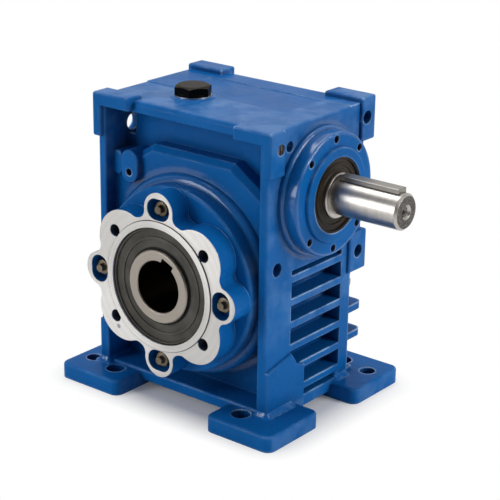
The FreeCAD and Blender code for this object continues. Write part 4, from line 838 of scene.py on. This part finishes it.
nitrile = moulded_rubber(
    "seal_rubber", OUTPUT_LINE, dark=(0.048, 0.045, 0.039), light=(0.098, 0.092, 0.080),
    ring=0.0045, wavy=0.15, roughness=(0.45, 0.6), grooves=(LIP_GROOVE, RIM_GROOVE),
)
paint(nitrile, "front_output_seal", "rear_output_seal")


# Filler plug: a black moulded plug with a hexagon head, screwed into the top over a soft aluminium washer.
# The top of the head is painted lighter, as painted light from above, while its sides stay black.
PLUG_BLACK = (0.0012, 0.0012, 0.0014, 1)

plug_finish = grained(
    "black_plug", dark=(0.0060, 0.0052, 0.0048), light=(0.030, 0.023, 0.018), grain=260,
    roughness=(0.26, 0.4), specular=0.04, round_edge=0.0009,
)
tree, surface, lit_top = opened(plug_finish)
# Painted light: faces that look up take the lighter grained colour.
upward = scaled(tree, facing(tree)["Z"], 0.6, 0.9)
wire(tree, surface, {"Base Color": blend(tree, upward, PLUG_BLACK, lit_top)})
paint(plug_finish, "filler_plug")
washer_metal = grained(
    "washer_aluminium", dark=(0.36, 0.37, 0.39), light=(0.55, 0.56, 0.58), grain=700,
    roughness=(0.35, 0.5), metallic=1.0,
)
paint(washer_metal, "filler_washer")


# Drain plug: a flush steel plug with a hexagon socket, screwed into the underside of the case.
# It is blacked against rust.
drain_black = grained(
    "drain_black", dark=(0.010, 0.010, 0.011), light=(0.030, 0.030, 0.032), grain=600,
    roughness=(0.35, 0.5), metallic=0.6,
)
paint(drain_black, "drain_plug")


# Corner set screw: a slotted brass screw in the near upper corner of the right end.
# It is dull with age and half smeared with the enamel.
brass, tree, surface = new_material("dull_brass", metallic=0.9)
smear = noise(tree, where(tree), scale=330, detail=3)
tarnish = blend(tree, scaled(tree, smear, 0.3, 0.55), (0.07, 0.05, 0.035, 1), (0.24, 0.175, 0.115, 1))
wire(tree, surface, {
    "Base Color": blend(tree, scaled(tree, smear, 0.5, 0.6, 0.0, 0.8), tarnish, BLUE),
    "Roughness": scaled(tree, smear, 0.3, 0.7, 0.3, 0.5),
    "Normal": relief(tree, smear, strength=0.3, depth=0.0002, round_edge=0.0004),
})
paint(brass, "corner_set_screw")


# Studio: a white floor that keeps a shadow under the part and fades into a white surround, which is dim
# behind the camera, with a large soft box overhead and one at each side.
SHADOW_CORE = (0.080, 0.057, 0)
SHADOW_FADE = 0.030
SHADOW_LIFT = 0.06
AWAY_FROM_CAMERA = (-0.62, 0.78, 0)
SURROUND_LIGHT = 0.26
CAMERA_PLACE = (0.64607, -0.79442, 0.47037)
CAMERA_DOWN = 20.08
CAMERA_TURN = 38.40
CAMERA_ROLL = 0.84
WHITE = (1, 1, 1, 1)

bpy.ops.object.select_all(action="DESELECT")
bpy.ops.mesh.primitive_plane_add(size=8, location=(0, 0, 0))
floor = bpy.context.object
floor.name = "floor"
floor_finish, tree, surface = new_material("white_floor", roughness=0.9)
surface.inputs["Base Color"].default_value = (0.9, 0.9, 0.9, 1)
beyond = shade(tree, "VectorMath", {0: where(tree)}, operation="ABSOLUTE").outputs["Vector"]
beyond = shade(tree, "VectorMath", {0: beyond, 1: SHADOW_CORE}, operation="SUBTRACT").outputs["Vector"]
beyond = shade(tree, "VectorMath", {0: beyond, 1: (0, 0, 0)}, operation="MAXIMUM").outputs["Vector"]
away = shade(tree, "VectorMath", {0: beyond}, operation="LENGTH").outputs["Value"]
share = scaled(tree, away, 0.0, SHADOW_FADE, SHADOW_LIFT, 1.0)
share = product(tree, shade(tree, "LightPath").outputs["Is Camera Ray"], share)
glow = shade(tree, "Emission", {"Color": WHITE, "Strength": 1.0})
mixed = shade(tree, "MixShader", {0: share, 1: surface.outputs["BSDF"], 2: glow.outputs["Emission"]})
tree.links.new(mixed.outputs["Shader"], tree.nodes["Material Output"].inputs["Surface"])
floor.data.materials.append(floor_finish)

world = bpy.data.worlds.new("white_surround")
scene.world = world
world.use_nodes = True
tree = world.node_tree
path = shade(tree, "LightPath").outputs
way = {0: shade(tree, "TexCoord").outputs["Generated"], 1: AWAY_FROM_CAMERA}
behind = shade(tree, "VectorMath", way, operation="DOT_PRODUCT").outputs["Value"]
mirrored = scaled(tree, behind, -0.2, 0.6, 0.1, 0.8)
strength = passing(tree, path["Is Glossy Ray"], SURROUND_LIGHT, mirrored)
background = tree.nodes["Background"]
background.inputs["Color"].default_value = WHITE
wire(tree, background, {"Strength": larger(tree, strength, path["Is Camera Ray"])})


def soft_box(name, position, target, size, power):
    """A rectangular lamp that looks at a target."""
    light = bpy.data.lights.new(name, "AREA")
    light.shape = "RECTANGLE"
    light.size, light.size_y = size
    light.energy = power
    lamp = bpy.data.objects.new(name, light)
    scene.collection.objects.link(lamp)
    lamp.location = position
    lamp.rotation_euler = (Vector(target) - Vector(position)).to_track_quat("-Z", "Y").to_euler()


soft_box("overhead_box", position=(-0.35, 0.25, 1.45), target=(0, 0, 0.1), size=(1.0, 0.8), power=12)
soft_box("left_box", position=(-0.7, -1.25, 0.5), target=(0, 0, 0.12), size=(0.6, 0.75), power=8.5)
soft_box("right_box", position=(1.35, 0.40, 0.60), target=(0, 0, 0.12), size=(0.5, 0.7), power=11)

lens = bpy.data.cameras.new("photo_camera")
lens.sensor_width = 36
lens.lens = 115.0
camera = bpy.data.objects.new("photo_camera", lens)
scene.collection.objects.link(camera)
camera.location = CAMERA_PLACE
camera.rotation_euler = (math.radians(90 - CAMERA_DOWN), 0, math.radians(CAMERA_TURN))
camera.rotation_euler.rotate_axis("Z", math.radians(CAMERA_ROLL))
scene.camera = camera
